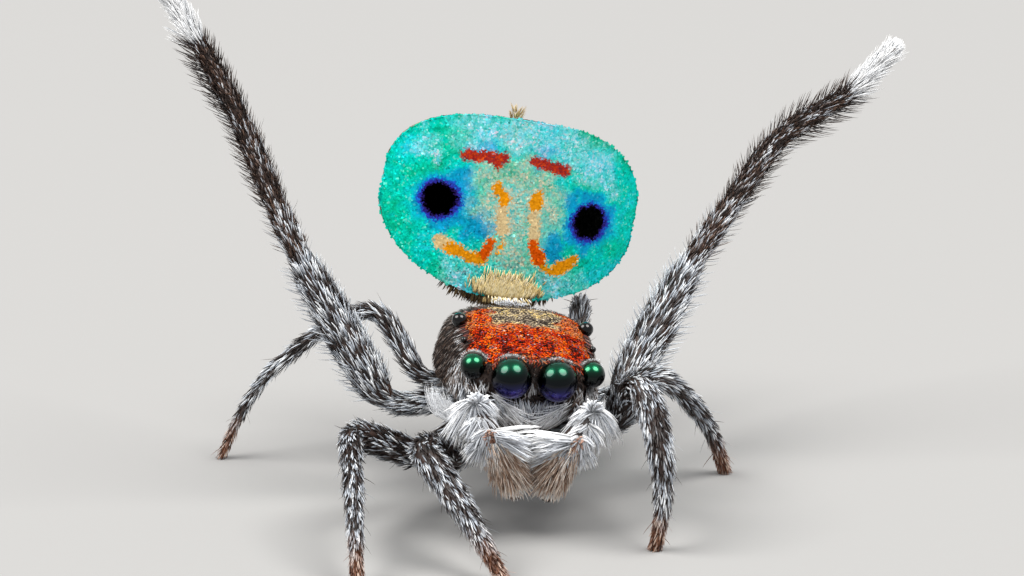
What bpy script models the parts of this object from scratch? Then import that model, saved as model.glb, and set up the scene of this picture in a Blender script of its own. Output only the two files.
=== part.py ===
"""A male peacock spider in its courtship stance, life size.

The spider faces -Y, has its left side at +X and stands on the floor at z = 0.
All sizes are in millimetres and degrees; the finished meshes are turned into metres.
The head's own frame has its origin midway between the two front eyes, with y
running back along the body.  The fan's own frame lies in the raised abdomen's
front face, with x across, z up and y running into the abdomen.
"""

import math
import random
from dataclasses import dataclass

import bmesh
import bpy
from mathutils import Matrix, Vector

MILLIMETRE = 0.001

# Air between two pieces that touch
GAP = 0.035
EYE_GAP = 0.022

# Stance of the body
EYE_HEIGHT = 1.70
NOSE_DOWN = 8.0
LEAN_LEFT = 8.0

# Carapace: distance back, half width at the lower edge, top and bottom
CARAPACE = (
    (0.03, 0.56, 0.20, -0.36),
    (0.10, 0.68, 0.25, -0.42),
    (0.32, 0.80, 0.28, -0.45),
    (0.70, 0.88, 0.29, -0.60),
    (1.12, 0.91, 0.28, -0.68),
    (1.52, 0.87, 0.10, -0.70),
    (1.86, 0.70, -0.18, -0.68),
    (2.08, 0.44, -0.40, -0.64),
)
CARAPACE_SIDES = 24
CARAPACE_SQUARENESS = 3.0
CARAPACE_LEAN_IN = 0.17

# Sternum: distance back, half width and depth below the carapace
STERNUM = (
    (0.34, 0.17, 0.30),
    (0.55, 0.27, 0.38),
    (0.95, 0.34, 0.42),
    (1.40, 0.33, 0.42),
    (1.72, 0.25, 0.36),
    (1.92, 0.14, 0.28),
)
STERNUM_SIDES = 14
STERNUM_SQUARENESS = 2.3

# Eyes of one side: x, y, z and radius in the head's frame, then segments round
EYES = {
    "eye_front": (0.252, 0.00, 0.00, 0.222, 16),
    "eye_side": (0.655, 0.16, 0.03, 0.142, 12),
    "eye_small": (0.715, 0.58, 0.12, 0.035, 8),
    "eye_rear": (0.700, 1.02, 0.13, 0.085, 10),
}

# Long locks below the eyes, from under a side eye inwards
FACE_LOCKS = 5
FACE_LOCK_OUTER = 0.56
FACE_LOCK_INNER = 0.16
FACE_LOCK_Y = 0.06
FACE_LOCK_Z = -0.27
FACE_LOCK_DROP = 0.05
FACE_LOCK_LENGTH = 0.46
FACE_LOCK_WIDTH = 0.09
FACE_LOCK_HEADING = (0.80, -0.36, -0.42)
FACE_LOCK_BEND = (0.0, 0.12, -0.12)

# Locks along the lower edge of the carapace: how many, and the first and last
# distance back; on the left the front leg's knee is in their way
MARGIN_ROWS = {-1: (6, 0.30, 1.45), 1: (3, 0.85, 1.10)}
MARGIN_INSET = 0.95
MARGIN_RISE = 0.14
MARGIN_LENGTH = 0.30
MARGIN_WIDTH = 0.14
MARGIN_HEADING = (0.80, -0.40, -0.45)
MARGIN_BEND = (-0.10, -0.10, -0.40)

# Chelicerae, hanging behind the palps
CHELICERA_X = 0.19
CHELICERA_TOP = (0.18, -0.52)
CHELICERA_TIP = (0.08, -0.86)
CHELICERA_RADII = (0.13, 0.15, 0.15, 0.12, 0.07)

# Palps on the left side, in the head's frame: the arm's root, bend and knee,
# and the tip's start, joint, belly and end
PALP_ROOT = (0.33, 0.12, -1.02)
PALP_BEND = (0.54, 0.12, -0.76)
PALP_KNEE = (0.60, 0.04, -0.53)
PALP_START = (0.63, -0.17, -0.28)
PALP_JOINT = (0.46, -0.33, -0.50)
PALP_BELLY = (0.262, -0.34, -0.90)
PALP_TIP = (0.185, -0.34, -1.24)
PALP_SWING = 0.11
PALP_ARM_RADII = (0.09, 0.11, 0.13)
PALP_TIP_RADII = (0.13, 0.18, 0.215, 0.225, 0.22, 0.13)
PALP_LOCK_WIDTH = 0.10
PALP_FAN_LOCKS = 8
PALP_FAN_RADIUS = 0.11
PALP_FAN_LENGTH = 0.27
PALP_CUFF_LOCKS = 4
PALP_CUFF_RADIUS = 0.18
PALP_CUFF_LENGTH = 0.24
PALP_TIP_LOCKS = 5
PALP_TIP_INSET = 0.12
PALP_TIP_SPREAD = 0.09
PALP_TIP_LENGTH = 0.20

# Fan: the raised abdomen and its two side flaps
FAN_CENTRE = (0.165, 2.25, 2.84)
FAN_TILT = 12.5
FAN_LEAN_BACK = 7.0
FAN_HALF_WIDTH = 1.46
FAN_HALF_HEIGHT = 1.02
FAN_TOP_SQUARENESS = 2.8
FAN_BOTTOM_SQUARENESS = 2.1
FAN_SWEEP_BACK = 0.19
FLAP_DROOP = 0.09
FLAP_THICKNESS = 0.09
FLAP_EDGE_THICKNESS = 0.05
ABDOMEN_HALF_WIDTH = 0.62
ABDOMEN_HALF_LENGTH = 1.0
ABDOMEN_DEPTH = 0.80

# Facets of the fan, across and up
ABDOMEN_FACETS = (10, 14)
FLAP_FACETS = (7, 12)

# Pedicel and spinnerets
PEDICEL_RADIUS = 0.08
PEDICEL_START = (0.0, 2.08, -0.52)
PEDICEL_REACH = 0.24
PEDICEL_DEPTH = 0.16
PEDICEL_SIDES = 10
SPINNERET_X = -0.16
SPINNERET_Y = 0.13
SPINNERET_RADIUS = 0.08
SPINNERET_LENGTH = 0.13
SPINNERET_SIDES = 8
SPINNERET_LOCKS = 5
SPINNERET_LOCK_LENGTH = 0.13
SPINNERET_LOCK_WIDTH = 0.06

# Cream locks at the fan's foot: heights of their two rows, and their sizes
FAN_BASE_ROWS = (-0.72, -0.83)
FAN_BASE_LOCKS = 6
FAN_BASE_HALF_WIDTH = 0.44
FAN_BASE_LENGTH = 0.26
FAN_BASE_WIDTH = 0.12

# Leg roots beside the sternum, in the head's frame: x, y and z on the left side
LEG_ROOTS = {
    1: (0.35, 0.52, -0.92),
    2: (0.42, 0.86, -0.94),
    3: (0.42, 1.28, -0.94),
    4: (0.35, 1.68, -0.92),
}
LEG_SIDES = 10
KNEE_ROUNDING = 0.30
CORNER_SHARE = 0.46
SHORT_RUN = 0.12
JOINT_NECK = 0.10
NECK_LENGTH = 0.10
SOLE_RADIUS = 0.07
ANKLE_RISE = 0.15

# Locks of hair: how deep a root is sunk, thickness, and the spread of their sizes
LOCK_SINK = 0.05
LOCK_THICKNESS = 0.05
LOCK_VARIATION = 0.15

# Stations of a lock: share of its length, and share of its width
LOCK_STATIONS = ((0.30, 1.0), (0.70, 0.62))
LOCK_ROOT_WIDTH = 0.8

# Places of the joints between knee and foot, as shares of the way
SHANK_SHARES = (0.26, 0.58, 0.81)


@dataclass(frozen=True)
class Girth:
    """Radii of a leg with its coat, from the coxa to the foot."""

    coxa: float
    thigh: float
    femur: float
    knee: float
    tibia: float
    metatarsus: float
    tarsus: float


GIRTHS = {
    1: Girth(0.16, 0.20, 0.22, 0.20, 0.20, 0.15, 0.115),
    2: Girth(0.17, 0.18, 0.21, 0.17, 0.15, 0.13, 0.110),
    3: Girth(0.17, 0.16, 0.27, 0.18, 0.17, 0.16, 0.130),
    4: Girth(0.16, 0.15, 0.15, 0.14, 0.12, 0.09, 0.070),
}


@dataclass(frozen=True)
class Fringe:
    """Rows of locks along a stretch of a leg.

    The angles are measured round the leg from its outer side towards the front,
    and the lean is that of a lock from straight out towards the leg's tip.
    """

    angles: tuple
    count: int
    length: float
    width: float
    lean: float
    start: float = 0.08
    stop: float = 0.84


FRINGES = {
    "femur": (
        Fringe((-25, 25), 6, 0.25, 0.14, 52),
        Fringe((180,), 5, 0.17, 0.11, 60),
    ),
    "tibia": (
        Fringe((-25, 25), 6, 0.28, 0.13, 48),
        Fringe((180,), 5, 0.17, 0.11, 56),
    ),
    "foot": (
        Fringe((-25, 25), 4, 0.29, 0.13, 48, 0.04, 0.48),
        Fringe((155, 205), 4, 0.24, 0.13, 50, 0.04, 0.48),
        Fringe((0, 72, 144, 216, 288), 2, 0.36, 0.14, 74, 0.64, 0.90),
    ),
}


@dataclass(frozen=True)
class StandingLeg:
    """A leg on the floor: thigh root, knee and foot.

    The shank bows out in the leg's own plane, and by its splay to the side.
    """

    side: int
    pair: int
    thigh: tuple
    knee: tuple
    foot: tuple
    bow: float
    splay: float = 0.0


@dataclass(frozen=True)
class RaisedLeg:
    """A leg held up: thigh root, knee, then length, rise and heading of each segment.

    The heading is measured from straight ahead, positive to the spider's left.
    """

    side: int
    pair: int
    thigh: tuple
    knee: tuple
    segments: tuple


LEGS = {
    "leg_1_right": StandingLeg(-1, 1, (-0.80, 0.36, 0.68), (-1.30, -0.34, 1.14), (-0.58, -1.70), 0.08),
    "leg_1_left": StandingLeg(1, 1, (0.96, 0.54, 0.88), (1.12, -0.06, 1.68), (1.17, -0.87), 0.40, 0.09),
    "leg_2_right": StandingLeg(-1, 2, (-1.08, 0.80, 0.56), (-1.98, 0.24, 1.15), (-2.16, -1.51), 0.30),
    "leg_2_left": StandingLeg(1, 2, (0.92, 1.08, 0.78), (1.38, 0.72, 1.45), (2.34, 1.22), 0.20),
    "leg_3_right": RaisedLeg(
        -1, 3, (-1.42, 1.30, 0.99), (-2.27, 1.75, 2.56),
        ((0.65, 61, -130), (1.08, 67, -118), (1.00, 61, -114), (0.82, 59, -111)),
    ),
    "leg_3_left": RaisedLeg(
        1, 3, (1.16, 1.42, 0.84), (2.12, 2.20, 2.12),
        ((0.79, 50, 107), (0.92, 54, 101), (0.98, 29, 90), (0.69, 48, 84)),
    ),
    "leg_4_right": StandingLeg(-1, 4, (-0.92, 1.90, 1.00), (-1.34, 2.38, 1.79), (-3.08, 2.58), 0.34),
    "leg_4_left": StandingLeg(1, 4, (0.72, 1.98, 0.96), (0.98, 2.62, 1.56), (1.20, 4.30), 0.34),
}


@dataclass(frozen=True)
class Finish:
    """Colour, roughness and metallic value of one material."""

    colour: tuple
    roughness: float
    metallic: float = 0.0


FINISHES = {
    "carapace": Finish((0.20, 0.09, 0.05), 0.7),
    "underside": Finish((0.10, 0.07, 0.06), 0.7),
    "eye": Finish((0.01, 0.05, 0.05), 0.05),
    "palp": Finish((0.75, 0.72, 0.68), 0.8),
    "leg": Finish((0.28, 0.26, 0.26), 0.8),
    "abdomen": Finish((0.24, 0.20, 0.16), 0.8),
    "flap": Finish((0.05, 0.55, 0.50), 0.4, 0.3),
}


def turn(angle, axis):
    """Rotation matrix for an angle in degrees about a named axis."""
    return Matrix.Rotation(math.radians(angle), 4, axis)


HEAD = Matrix.Translation((0.0, 0.0, EYE_HEIGHT)) @ turn(LEAN_LEFT, "Y") @ turn(NOSE_DOWN, "X")
FAN = Matrix.Translation(FAN_CENTRE) @ turn(FAN_TILT, "Y") @ turn(-FAN_LEAN_BACK, "X")


def material(name):
    """The Principled material of a finish, made once."""
    found = bpy.data.materials.get(name)
    if found:
        return found
    finish = FINISHES[name]
    made = bpy.data.materials.new(name)
    made.use_nodes = True
    shader = made.node_tree.nodes["Principled BSDF"]
    shader.inputs["Base Color"].default_value = (*finish.colour, 1.0)
    shader.inputs["Roughness"].default_value = finish.roughness
    shader.inputs["Metallic"].default_value = finish.metallic
    return made


def piece(name, bm, finish):
    """A named object from a bmesh, with its faces outward."""
    bmesh.ops.recalc_face_normals(bm, faces=bm.faces)
    mesh = bpy.data.meshes.new(name)
    bm.to_mesh(mesh)
    bm.free()
    mesh.shade_smooth()
    mesh.set_sharp_from_angle(angle=math.radians(60))
    obj = bpy.data.objects.new(name, mesh)
    obj.data.materials.append(material(finish))
    bpy.context.scene.collection.objects.link(obj)
    return obj


def skin_rings(rings):
    """A closed bmesh through rings of equal count, with flat ends."""
    bm = bmesh.new()
    loops = [[bm.verts.new(point) for point in ring] for ring in rings]
    count = len(loops[0])
    for first, second in zip(loops, loops[1:]):
        for i in range(count):
            j = (i + 1) % count
            bm.faces.new((first[i], first[j], second[j], second[i]))
    bm.faces.new(reversed(loops[0]))
    bm.faces.new(loops[-1])
    return bm


def box_ring(frame, y, half_width, top, bottom, sides, squareness, lean_in):
    """A rounded, upward narrowing section at distance y, placed by a frame."""
    middle = (top + bottom) / 2
    half_height = (top - bottom) / 2
    ring = []
    for k in range(sides):
        angle = 2 * math.pi * (k + 0.5) / sides
        c, s = math.cos(angle), math.sin(angle)
        x = half_width * math.copysign(abs(c) ** (2 / squareness), c)
        z = middle + half_height * math.copysign(abs(s) ** (2 / squareness), s)
        x *= 1 - lean_in * (z - bottom) / (top - bottom)
        ring.append(frame @ Vector((x, y, z)))
    return ring


def along(table, y, column):
    """A value of a table of sections, read between its rows."""
    for first, second in zip(table, table[1:]):
        if y <= second[0]:
            share = (y - first[0]) / (second[0] - first[0])
            return first[column] + max(share, 0.0) * (second[column] - first[column])
    return table[-1][column]


def ball(centre, radius, segments):
    """A closed sphere as a bmesh."""
    bm = bmesh.new()
    bmesh.ops.create_uvsphere(bm, u_segments=segments, v_segments=segments * 5 // 8, radius=radius)
    bmesh.ops.rotate(bm, matrix=Matrix.Rotation(math.radians(90), 3, "X"), verts=bm.verts)
    bmesh.ops.translate(bm, vec=centre, verts=bm.verts)
    return bm


def round_path(points, rounding):
    """Points along a path whose corners are rounded, and the sample at each corner.

    A corner is a short curve that leaves its two sides at the rounding distance.
    """
    samples = [points[0]]
    marks = [0]
    for before, corner, after in zip(points, points[1:], points[2:]):
        reach_in = min(rounding, CORNER_SHARE * (corner - before).length)
        reach_out = min(rounding, CORNER_SHARE * (after - corner).length)
        start = corner + (before - corner).normalized() * reach_in
        end = corner + (after - corner).normalized() * reach_out
        bend = math.degrees((corner - before).angle(after - corner))
        steps = 4 if bend > 40 else 2
        if (start - samples[-1]).length > SHORT_RUN:
            samples.append((samples[-1] + start) / 2)
        for k in range(steps + 1):
            t = k / steps
            samples.append(start * (1 - t) ** 2 + corner * (2 * t * (1 - t)) + end * t * t)
            if 2 * k == steps:
                marks.append(len(samples) - 1)
    samples.append((samples[-1] + points[-1]) / 2)
    samples.append(points[-1])
    marks.append(len(samples) - 1)
    return samples, marks


def tangents(samples):
    """Unit directions of a path at its samples."""
    result = []
    for i in range(len(samples)):
        ahead = samples[min(i + 1, len(samples) - 1)]
        behind = samples[max(i - 1, 0)]
        result.append((ahead - behind).normalized())
    return result


def lengths_along(samples):
    """Distance of each sample from the start of its path."""
    result = [0.0]
    for first, second in zip(samples, samples[1:]):
        result.append(result[-1] + (second - first).length)
    return result


def frames_along(directions):
    """Two cross directions at each sample, carried along without twist."""
    start = Vector((0.0, 0.0, 1.0)) if abs(directions[0].z) < 0.9 else Vector((1.0, 0.0, 0.0))
    side = directions[0].cross(start).normalized()
    result = []
    previous = directions[0]
    for direction in directions:
        side = previous.rotation_difference(direction) @ side
        side = (side - direction * side.dot(direction)).normalized()
        result.append((side, direction.cross(side)))
        previous = direction
    return result


def ring_at(centre, cross, radius, sides, flatness=1.0):
    """A circle, or an ellipse flattened along the second cross direction."""
    first, second = cross
    ring = []
    for k in range(sides):
        angle = 2 * math.pi * k / sides
        across = first * (radius * math.cos(angle))
        ring.append(centre + across + second * (radius * flatness * math.sin(angle)))
    return ring


def tube(points, radii, sides, rounding=0.2, flatness=1.0):
    """A closed tube along a path, with its radii spread evenly over its length."""
    samples, _ = round_path([Vector(p) for p in points], rounding)
    lengths = lengths_along(samples)
    rings = []
    crosses = frames_along(tangents(samples))
    for sample, length, cross in zip(samples, lengths, crosses):
        place = length / lengths[-1] * (len(radii) - 1)
        index = min(int(place), len(radii) - 2)
        radius = radii[index] + (place - index) * (radii[index + 1] - radii[index])
        rings.append(ring_at(sample, cross, radius, sides, flatness))
    return skin_rings(rings)


def mirrored(point, side):
    """A point of the left side, moved to the given side."""
    return Vector((point[0] * side, point[1], point[2]))


def lock(root, direction, bend, length, width, face, finish):
    """One flat, tapered lock as a closed object that isn't linked to the scene.

    It leaves its root along the direction, bends towards the bend vector, and
    is thin along the face vector.
    """
    direction = direction.normalized()
    across = direction.cross(face).normalized()
    stations = ((-LOCK_SINK / length, LOCK_ROOT_WIDTH),) + LOCK_STATIONS
    bm = bmesh.new()
    rings = []
    for share, breadth in stations:
        centre = root + direction * (length * share) + bend * (length * max(share, 0.0) ** 2)
        heading = (direction + bend * (2 * max(share, 0.0))).normalized()
        thin = across.cross(heading).normalized() * (LOCK_THICKNESS / 2)
        side = across * (width / 2 * breadth)
        rings.append([bm.verts.new(centre + offset) for offset in (side, thin, -side, -thin)])
    for first, second in zip(rings, rings[1:]):
        for i in range(4):
            j = (i + 1) % 4
            bm.faces.new((first[i], first[j], second[j], second[i]))
    tip = bm.verts.new(root + (direction + bend) * length)
    for i in range(4):
        bm.faces.new((rings[-1][i], rings[-1][(i + 1) % 4], tip))
    bm.faces.new(reversed(rings[0]))
    made = piece("lock", bm, finish)
    bpy.context.scene.collection.objects.unlink(made)
    return made


def dress(obj, locks):
    """Fuse locks into the piece that they grow from."""
    coat = bpy.data.collections.new("coat")
    for made in locks:
        coat.objects.link(made)
    combine(obj, coat, "UNION")


def varied(draw, value):
    """A size with the natural spread of the real ones."""
    return value * (1 + LOCK_VARIATION * draw.uniform(-1, 1))


def build_carapace():
    """The head and thorax, with a socket for each eye."""
    rings = [
        box_ring(HEAD, y, width, top, bottom, CARAPACE_SIDES, CARAPACE_SQUARENESS, CARAPACE_LEAN_IN)
        for y, width, top, bottom in CARAPACE
    ]
    body = piece("carapace", skin_rings(rings), "carapace")
    sockets = bpy.data.collections.new("sockets")
    for x, y, z, radius, segments in EYES.values():
        for side in (-1, 1):
            centre = HEAD @ Vector((x * side, y, z))
            socket = piece("socket", ball(centre, radius + EYE_GAP, segments), "eye")
            bpy.context.scene.collection.objects.unlink(socket)
            sockets.objects.link(socket)
    combine(body, sockets, "DIFFERENCE")
    dress(body, face_locks() + margin_locks())


def face_locks():
    """Long white locks that run from below the side eyes to the middle of the face."""
    draw = random.Random("face")
    frame = HEAD.to_3x3()
    made = []
    for side in (-1, 1):
        for k in range(FACE_LOCKS):
            share = k / (FACE_LOCKS - 1)
            root = Vector((
                side * (FACE_LOCK_OUTER + (FACE_LOCK_INNER - FACE_LOCK_OUTER) * share),
                FACE_LOCK_Y,
                FACE_LOCK_Z - FACE_LOCK_DROP * (k % 2),
            ))
            across, ahead, upward = FACE_LOCK_HEADING
            direction = Vector((-side * across, ahead, upward - 0.10 * (k % 2)))
            bend = Vector(FACE_LOCK_BEND)
            length = varied(draw, FACE_LOCK_LENGTH * (1 - 0.35 * share))
            made.append(lock(
                HEAD @ root, frame @ direction, frame @ bend,
                length, FACE_LOCK_WIDTH, frame @ Vector((0.0, 1.0, 0.2)), "palp",
            ))
    return made


def mirrored(vector, side):
    """A vector given for the left side, on either side."""
    x, y, z = vector
    return Vector((x * side, y, z))


def margin_locks():
    """White locks along the lower edge of each side of the carapace."""
    draw = random.Random("margin")
    frame = HEAD.to_3x3()
    made = []
    for side, (count, first, last) in MARGIN_ROWS.items():
        for k in range(count):
            y = first + (last - first) * k / (count - 1)
            width = along(CARAPACE, y, 1)
            bottom = along(CARAPACE, y, 3)
            root = Vector((side * width * MARGIN_INSET, y, bottom + MARGIN_RISE))
            direction = mirrored(MARGIN_HEADING, side)
            bend = mirrored(MARGIN_BEND, side)
            made.append(lock(
                HEAD @ root, frame @ direction, frame @ bend,
                varied(draw, MARGIN_LENGTH), MARGIN_WIDTH, frame @ Vector((side * 0.3, 0.0, 1.0)), "palp",
            ))
    return made


def combine(obj, others, operation, solver="EXACT"):
    """Join or cut an object with all objects of a collection, which is then removed."""
    modifier = obj.modifiers.new("combine", "BOOLEAN")
    modifier.operation = operation
    modifier.solver = solver
    modifier.operand_type = "COLLECTION"
    modifier.collection = others
    graph = bpy.context.evaluated_depsgraph_get()
    joined = bpy.data.meshes.new_from_object(obj.evaluated_get(graph))
    obj.modifiers.clear()
    obj.data = joined
    for other in list(others.objects):
        bpy.data.objects.remove(other)
    bpy.data.collections.remove(others)
    keep_largest(obj)


def keep_largest(obj):
    """Leave only the largest closed surface of an object."""
    bm = bmesh.new()
    bm.from_mesh(obj.data)
    bmesh.ops.triangulate(bm, faces=bm.faces)
    unseen = set(bm.verts)
    shells = []
    while unseen:
        stack = [unseen.pop()]
        shell = []
        while stack:
            vert = stack.pop()
            shell.append(vert)
            for edge in vert.link_edges:
                other = edge.other_vert(vert)
                if other in unseen:
                    unseen.remove(other)
                    stack.append(other)
        shells.append(shell)
    shells.sort(key=reach, reverse=True)
    for shell in shells[1:]:
        bmesh.ops.delete(bm, geom=shell, context="VERTS")
    bm.to_mesh(obj.data)
    bm.free()


def reach(shell):
    """Diagonal of the box round some vertices."""
    spans = [max(v.co[k] for v in shell) - min(v.co[k] for v in shell) for k in range(3)]
    return math.hypot(*spans)


def build_sternum():
    """The plate between the legs, up against the carapace."""
    rings = []
    for y, width, depth in STERNUM:
        top = along(CARAPACE, y, 3) - GAP
        bottom = top - depth
        rings.append(box_ring(HEAD, y, width, top, bottom, STERNUM_SIDES, STERNUM_SQUARENESS, 0.0))
    return piece("sternum", skin_rings(rings), "underside")


def build_eyes():
    """The eight eyes."""
    for name, (x, y, z, radius, segments) in EYES.items():
        for side, word in ((-1, "right"), (1, "left")):
            centre = HEAD @ Vector((x * side, y, z))
            piece(f"{name}_{word}", ball(centre, radius, segments), "eye")


def build_mouthparts():
    """The chelicerae and the palps, each palp in an arm and a tip."""
    for side, word in ((-1, "right"), (1, "left")):
        top = HEAD @ Vector((CHELICERA_X * side, *CHELICERA_TOP))
        tip = HEAD @ Vector((CHELICERA_X * side, *CHELICERA_TIP))
        piece(f"chelicera_{word}", tube((top, tip), CHELICERA_RADII, 10), "underside")
        swing = Vector((PALP_SWING, 0.0, 0.0))
        root, bend, knee, start, joint, belly, end = (
            HEAD @ mirrored(point, side)
            for point in (PALP_ROOT, PALP_BEND, PALP_KNEE, PALP_START, PALP_JOINT, PALP_BELLY, PALP_TIP)
        )
        belly += swing * 0.5
        end += swing
        piece(f"palp_arm_{word}", tube((root, bend, knee), PALP_ARM_RADII, 10), "palp")
        tip = piece(f"palp_tip_{word}", tube((start, joint, belly, end), PALP_TIP_RADII, 12), "palp")
        dress(tip, palp_locks(side, start, joint, end))


def palp_locks(side, start, joint, end):
    """The hair fans of one palp: two that radiate from its joints, and a shaggy tip."""
    draw = random.Random(f"palp {side}")
    frame = HEAD.to_3x3()
    forward = frame @ Vector((0.0, -1.0, 0.0))
    outward = frame @ Vector((side, 0.0, 0.0))
    upward = frame @ Vector((0.0, 0.0, 1.0))
    made = []
    for centre, reach_out, length, count, first, last in (
        (start, PALP_FAN_RADIUS, PALP_FAN_LENGTH, PALP_FAN_LOCKS, -60, 215),
        (joint, PALP_CUFF_RADIUS, PALP_CUFF_LENGTH, PALP_CUFF_LOCKS, -125, 25),
    ):
        for k in range(count):
            angle = math.radians(first + (last - first) * k / (count - 1))
            radial = outward * math.cos(angle) + upward * math.sin(angle)
            root = centre + forward * reach_out + radial * (reach_out * 0.35)
            made.append(lock(
                root, radial + forward * 0.55, forward * -0.35,
                varied(draw, length), PALP_LOCK_WIDTH, forward, "palp",
            ))
    heading = (end - joint).normalized()
    for k in range(PALP_TIP_LOCKS):
        angle = 2 * math.pi * k / PALP_TIP_LOCKS
        radial = outward * math.cos(angle) + forward * math.sin(angle)
        root = end - heading * PALP_TIP_INSET + radial * PALP_TIP_SPREAD
        made.append(lock(
            root, heading + radial * 0.15, radial * -0.25,
            varied(draw, PALP_TIP_LENGTH), PALP_LOCK_WIDTH, radial, "palp",
        ))
    return made


def fan_height(x, upward):
    """Height of the fan's outline at distance x across, up or down from its centre."""
    squareness = FAN_TOP_SQUARENESS if upward else FAN_BOTTOM_SQUARENESS
    share = min(abs(x) / FAN_HALF_WIDTH, 1.0) ** squareness
    return FAN_HALF_HEIGHT * (1 - share) ** (1 / squareness)


def fan_droop(x):
    """How far the left flap hangs below the line of the right one."""
    return FLAP_DROOP * max(x - ABDOMEN_HALF_WIDTH, 0.0)


def fan_thickness(x, z):
    """Thickness of the fan behind a point of its front face."""
    nearness = abs(x) / FAN_HALF_WIDTH
    flap = FLAP_THICKNESS + (FLAP_EDGE_THICKNESS - FLAP_THICKNESS) * nearness
    body = 1 - (x / ABDOMEN_HALF_WIDTH) ** 2 - (z / ABDOMEN_HALF_LENGTH) ** 2
    return flap + ABDOMEN_DEPTH * math.sqrt(max(body, 0.0))


def fan_plate(name, columns, rows, finish):
    """A closed plate of the fan between its first and last column.

    Both faces are split into triangles alike, so that they never cross.
    """
    bm = bmesh.new()
    front = []
    back = []
    for x in columns:
        top = fan_height(x, True)
        bottom = -fan_height(x, False)
        front_column = []
        back_column = []
        for k in range(rows + 1):
            swing = 0.5 - 0.5 * math.cos(math.pi * k / rows)
            z = bottom + (top - bottom) * swing
            depth = FAN_SWEEP_BACK * x * x
            level = z - fan_droop(x)
            front_column.append(bm.verts.new(FAN @ Vector((x, depth, level))))
            back_column.append(bm.verts.new(FAN @ Vector((x, depth + fan_thickness(x, z), level))))
        front.append(front_column)
        back.append(back_column)
    for i in range(len(columns) - 1):
        for k in range(rows):
            for grid in (front, back):
                a, b = grid[i][k], grid[i + 1][k]
                c, d = grid[i + 1][k + 1], grid[i][k + 1]
                bm.faces.new((a, b, c))
                bm.faces.new((a, c, d))
    border = fan_border(front)
    opposite = fan_border(back)
    for k in range(len(border)):
        j = (k + 1) % len(border)
        bm.faces.new((border[k], border[j], opposite[j]))
        bm.faces.new((border[k], opposite[j], opposite[k]))
    return piece(name, bm, finish)


def fan_border(grid):
    """The vertices round a grid, in order."""
    lower = [column[0] for column in grid]
    upper = [column[-1] for column in grid]
    return lower[:-1] + grid[-1][:-1] + upper[:0:-1] + grid[0][:0:-1]


def build_fan():
    """The raised abdomen with its flaps and spinnerets, and the pedicel below it."""
    steps, rows = ABDOMEN_FACETS
    columns = [ABDOMEN_HALF_WIDTH * math.sin(math.pi * (k / steps - 0.5)) for k in range(steps + 1)]
    abdomen = fan_plate("abdomen", columns, rows, "abdomen")
    dress(abdomen, fan_base_locks())
    inner = ABDOMEN_HALF_WIDTH + GAP
    outer = FAN_HALF_WIDTH * 0.992
    steps, rows = FLAP_FACETS
    for side, word in ((-1, "right"), (1, "left")):
        columns = [inner + (outer - inner) * math.sin(math.pi / 2 * k / steps) for k in range(steps + 1)]
        fan_plate(f"fan_flap_{word}", [side * x for x in columns], rows, "flap")
    foot = FAN @ Vector((0.0, PEDICEL_DEPTH, -FAN_HALF_HEIGHT - GAP))
    x, y, z = PEDICEL_START
    start = HEAD @ Vector((x, y + GAP, z))
    behind = HEAD @ Vector((x, y + GAP + PEDICEL_REACH, z))
    piece("pedicel", tube((start, behind, foot), (PEDICEL_RADIUS,) * 3, PEDICEL_SIDES), "abdomen")
    height = fan_height(SPINNERET_X, True) + GAP
    root = FAN @ Vector((SPINNERET_X, SPINNERET_Y, height))
    tip = FAN @ Vector((SPINNERET_X, SPINNERET_Y, height + SPINNERET_LENGTH))
    radii = (SPINNERET_RADIUS, SPINNERET_RADIUS * 0.5)
    spinnerets = piece("spinnerets", tube((root, tip), radii, SPINNERET_SIDES), "abdomen")
    dress(spinnerets, spinneret_locks(root))


def fan_base_locks():
    """The cream locks that hang over the fan's foot."""
    draw = random.Random("fan base")
    frame = FAN.to_3x3()
    made = []
    for row, z in enumerate(FAN_BASE_ROWS):
        for k in range(FAN_BASE_LOCKS - row):
            share = (k + 0.5 * row) / (FAN_BASE_LOCKS - 1)
            x = FAN_BASE_HALF_WIDTH * (2 * share - 1)
            rise = 0.10 * (x / FAN_BASE_HALF_WIDTH) ** 2
            root = Vector((x, FAN_SWEEP_BACK * x * x + 0.02, z + rise))
            direction = Vector((0.25 * x, -0.45, -1.0))
            made.append(lock(
                FAN @ root, frame @ direction, frame @ Vector((0.0, 0.30, 0.0)),
                varied(draw, FAN_BASE_LENGTH), FAN_BASE_WIDTH, frame @ Vector((0.0, 1.0, 0.0)), "abdomen",
            ))
    return made


def spinneret_locks(root):
    """Short tufts round the spinnerets."""
    draw = random.Random("spinnerets")
    frame = FAN.to_3x3()
    made = []
    for k in range(SPINNERET_LOCKS):
        angle = 2 * math.pi * k / SPINNERET_LOCKS
        radial = frame @ Vector((math.cos(angle), math.sin(angle), 0.0))
        upward = frame @ Vector((0.0, 0.0, 1.0))
        start = root + radial * (SPINNERET_RADIUS * 0.7) + upward * 0.05
        made.append(lock(
            start, upward + radial * 0.5, radial * 0.1,
            varied(draw, SPINNERET_LOCK_LENGTH), SPINNERET_LOCK_WIDTH, radial, "abdomen",
        ))
    return made


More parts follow.
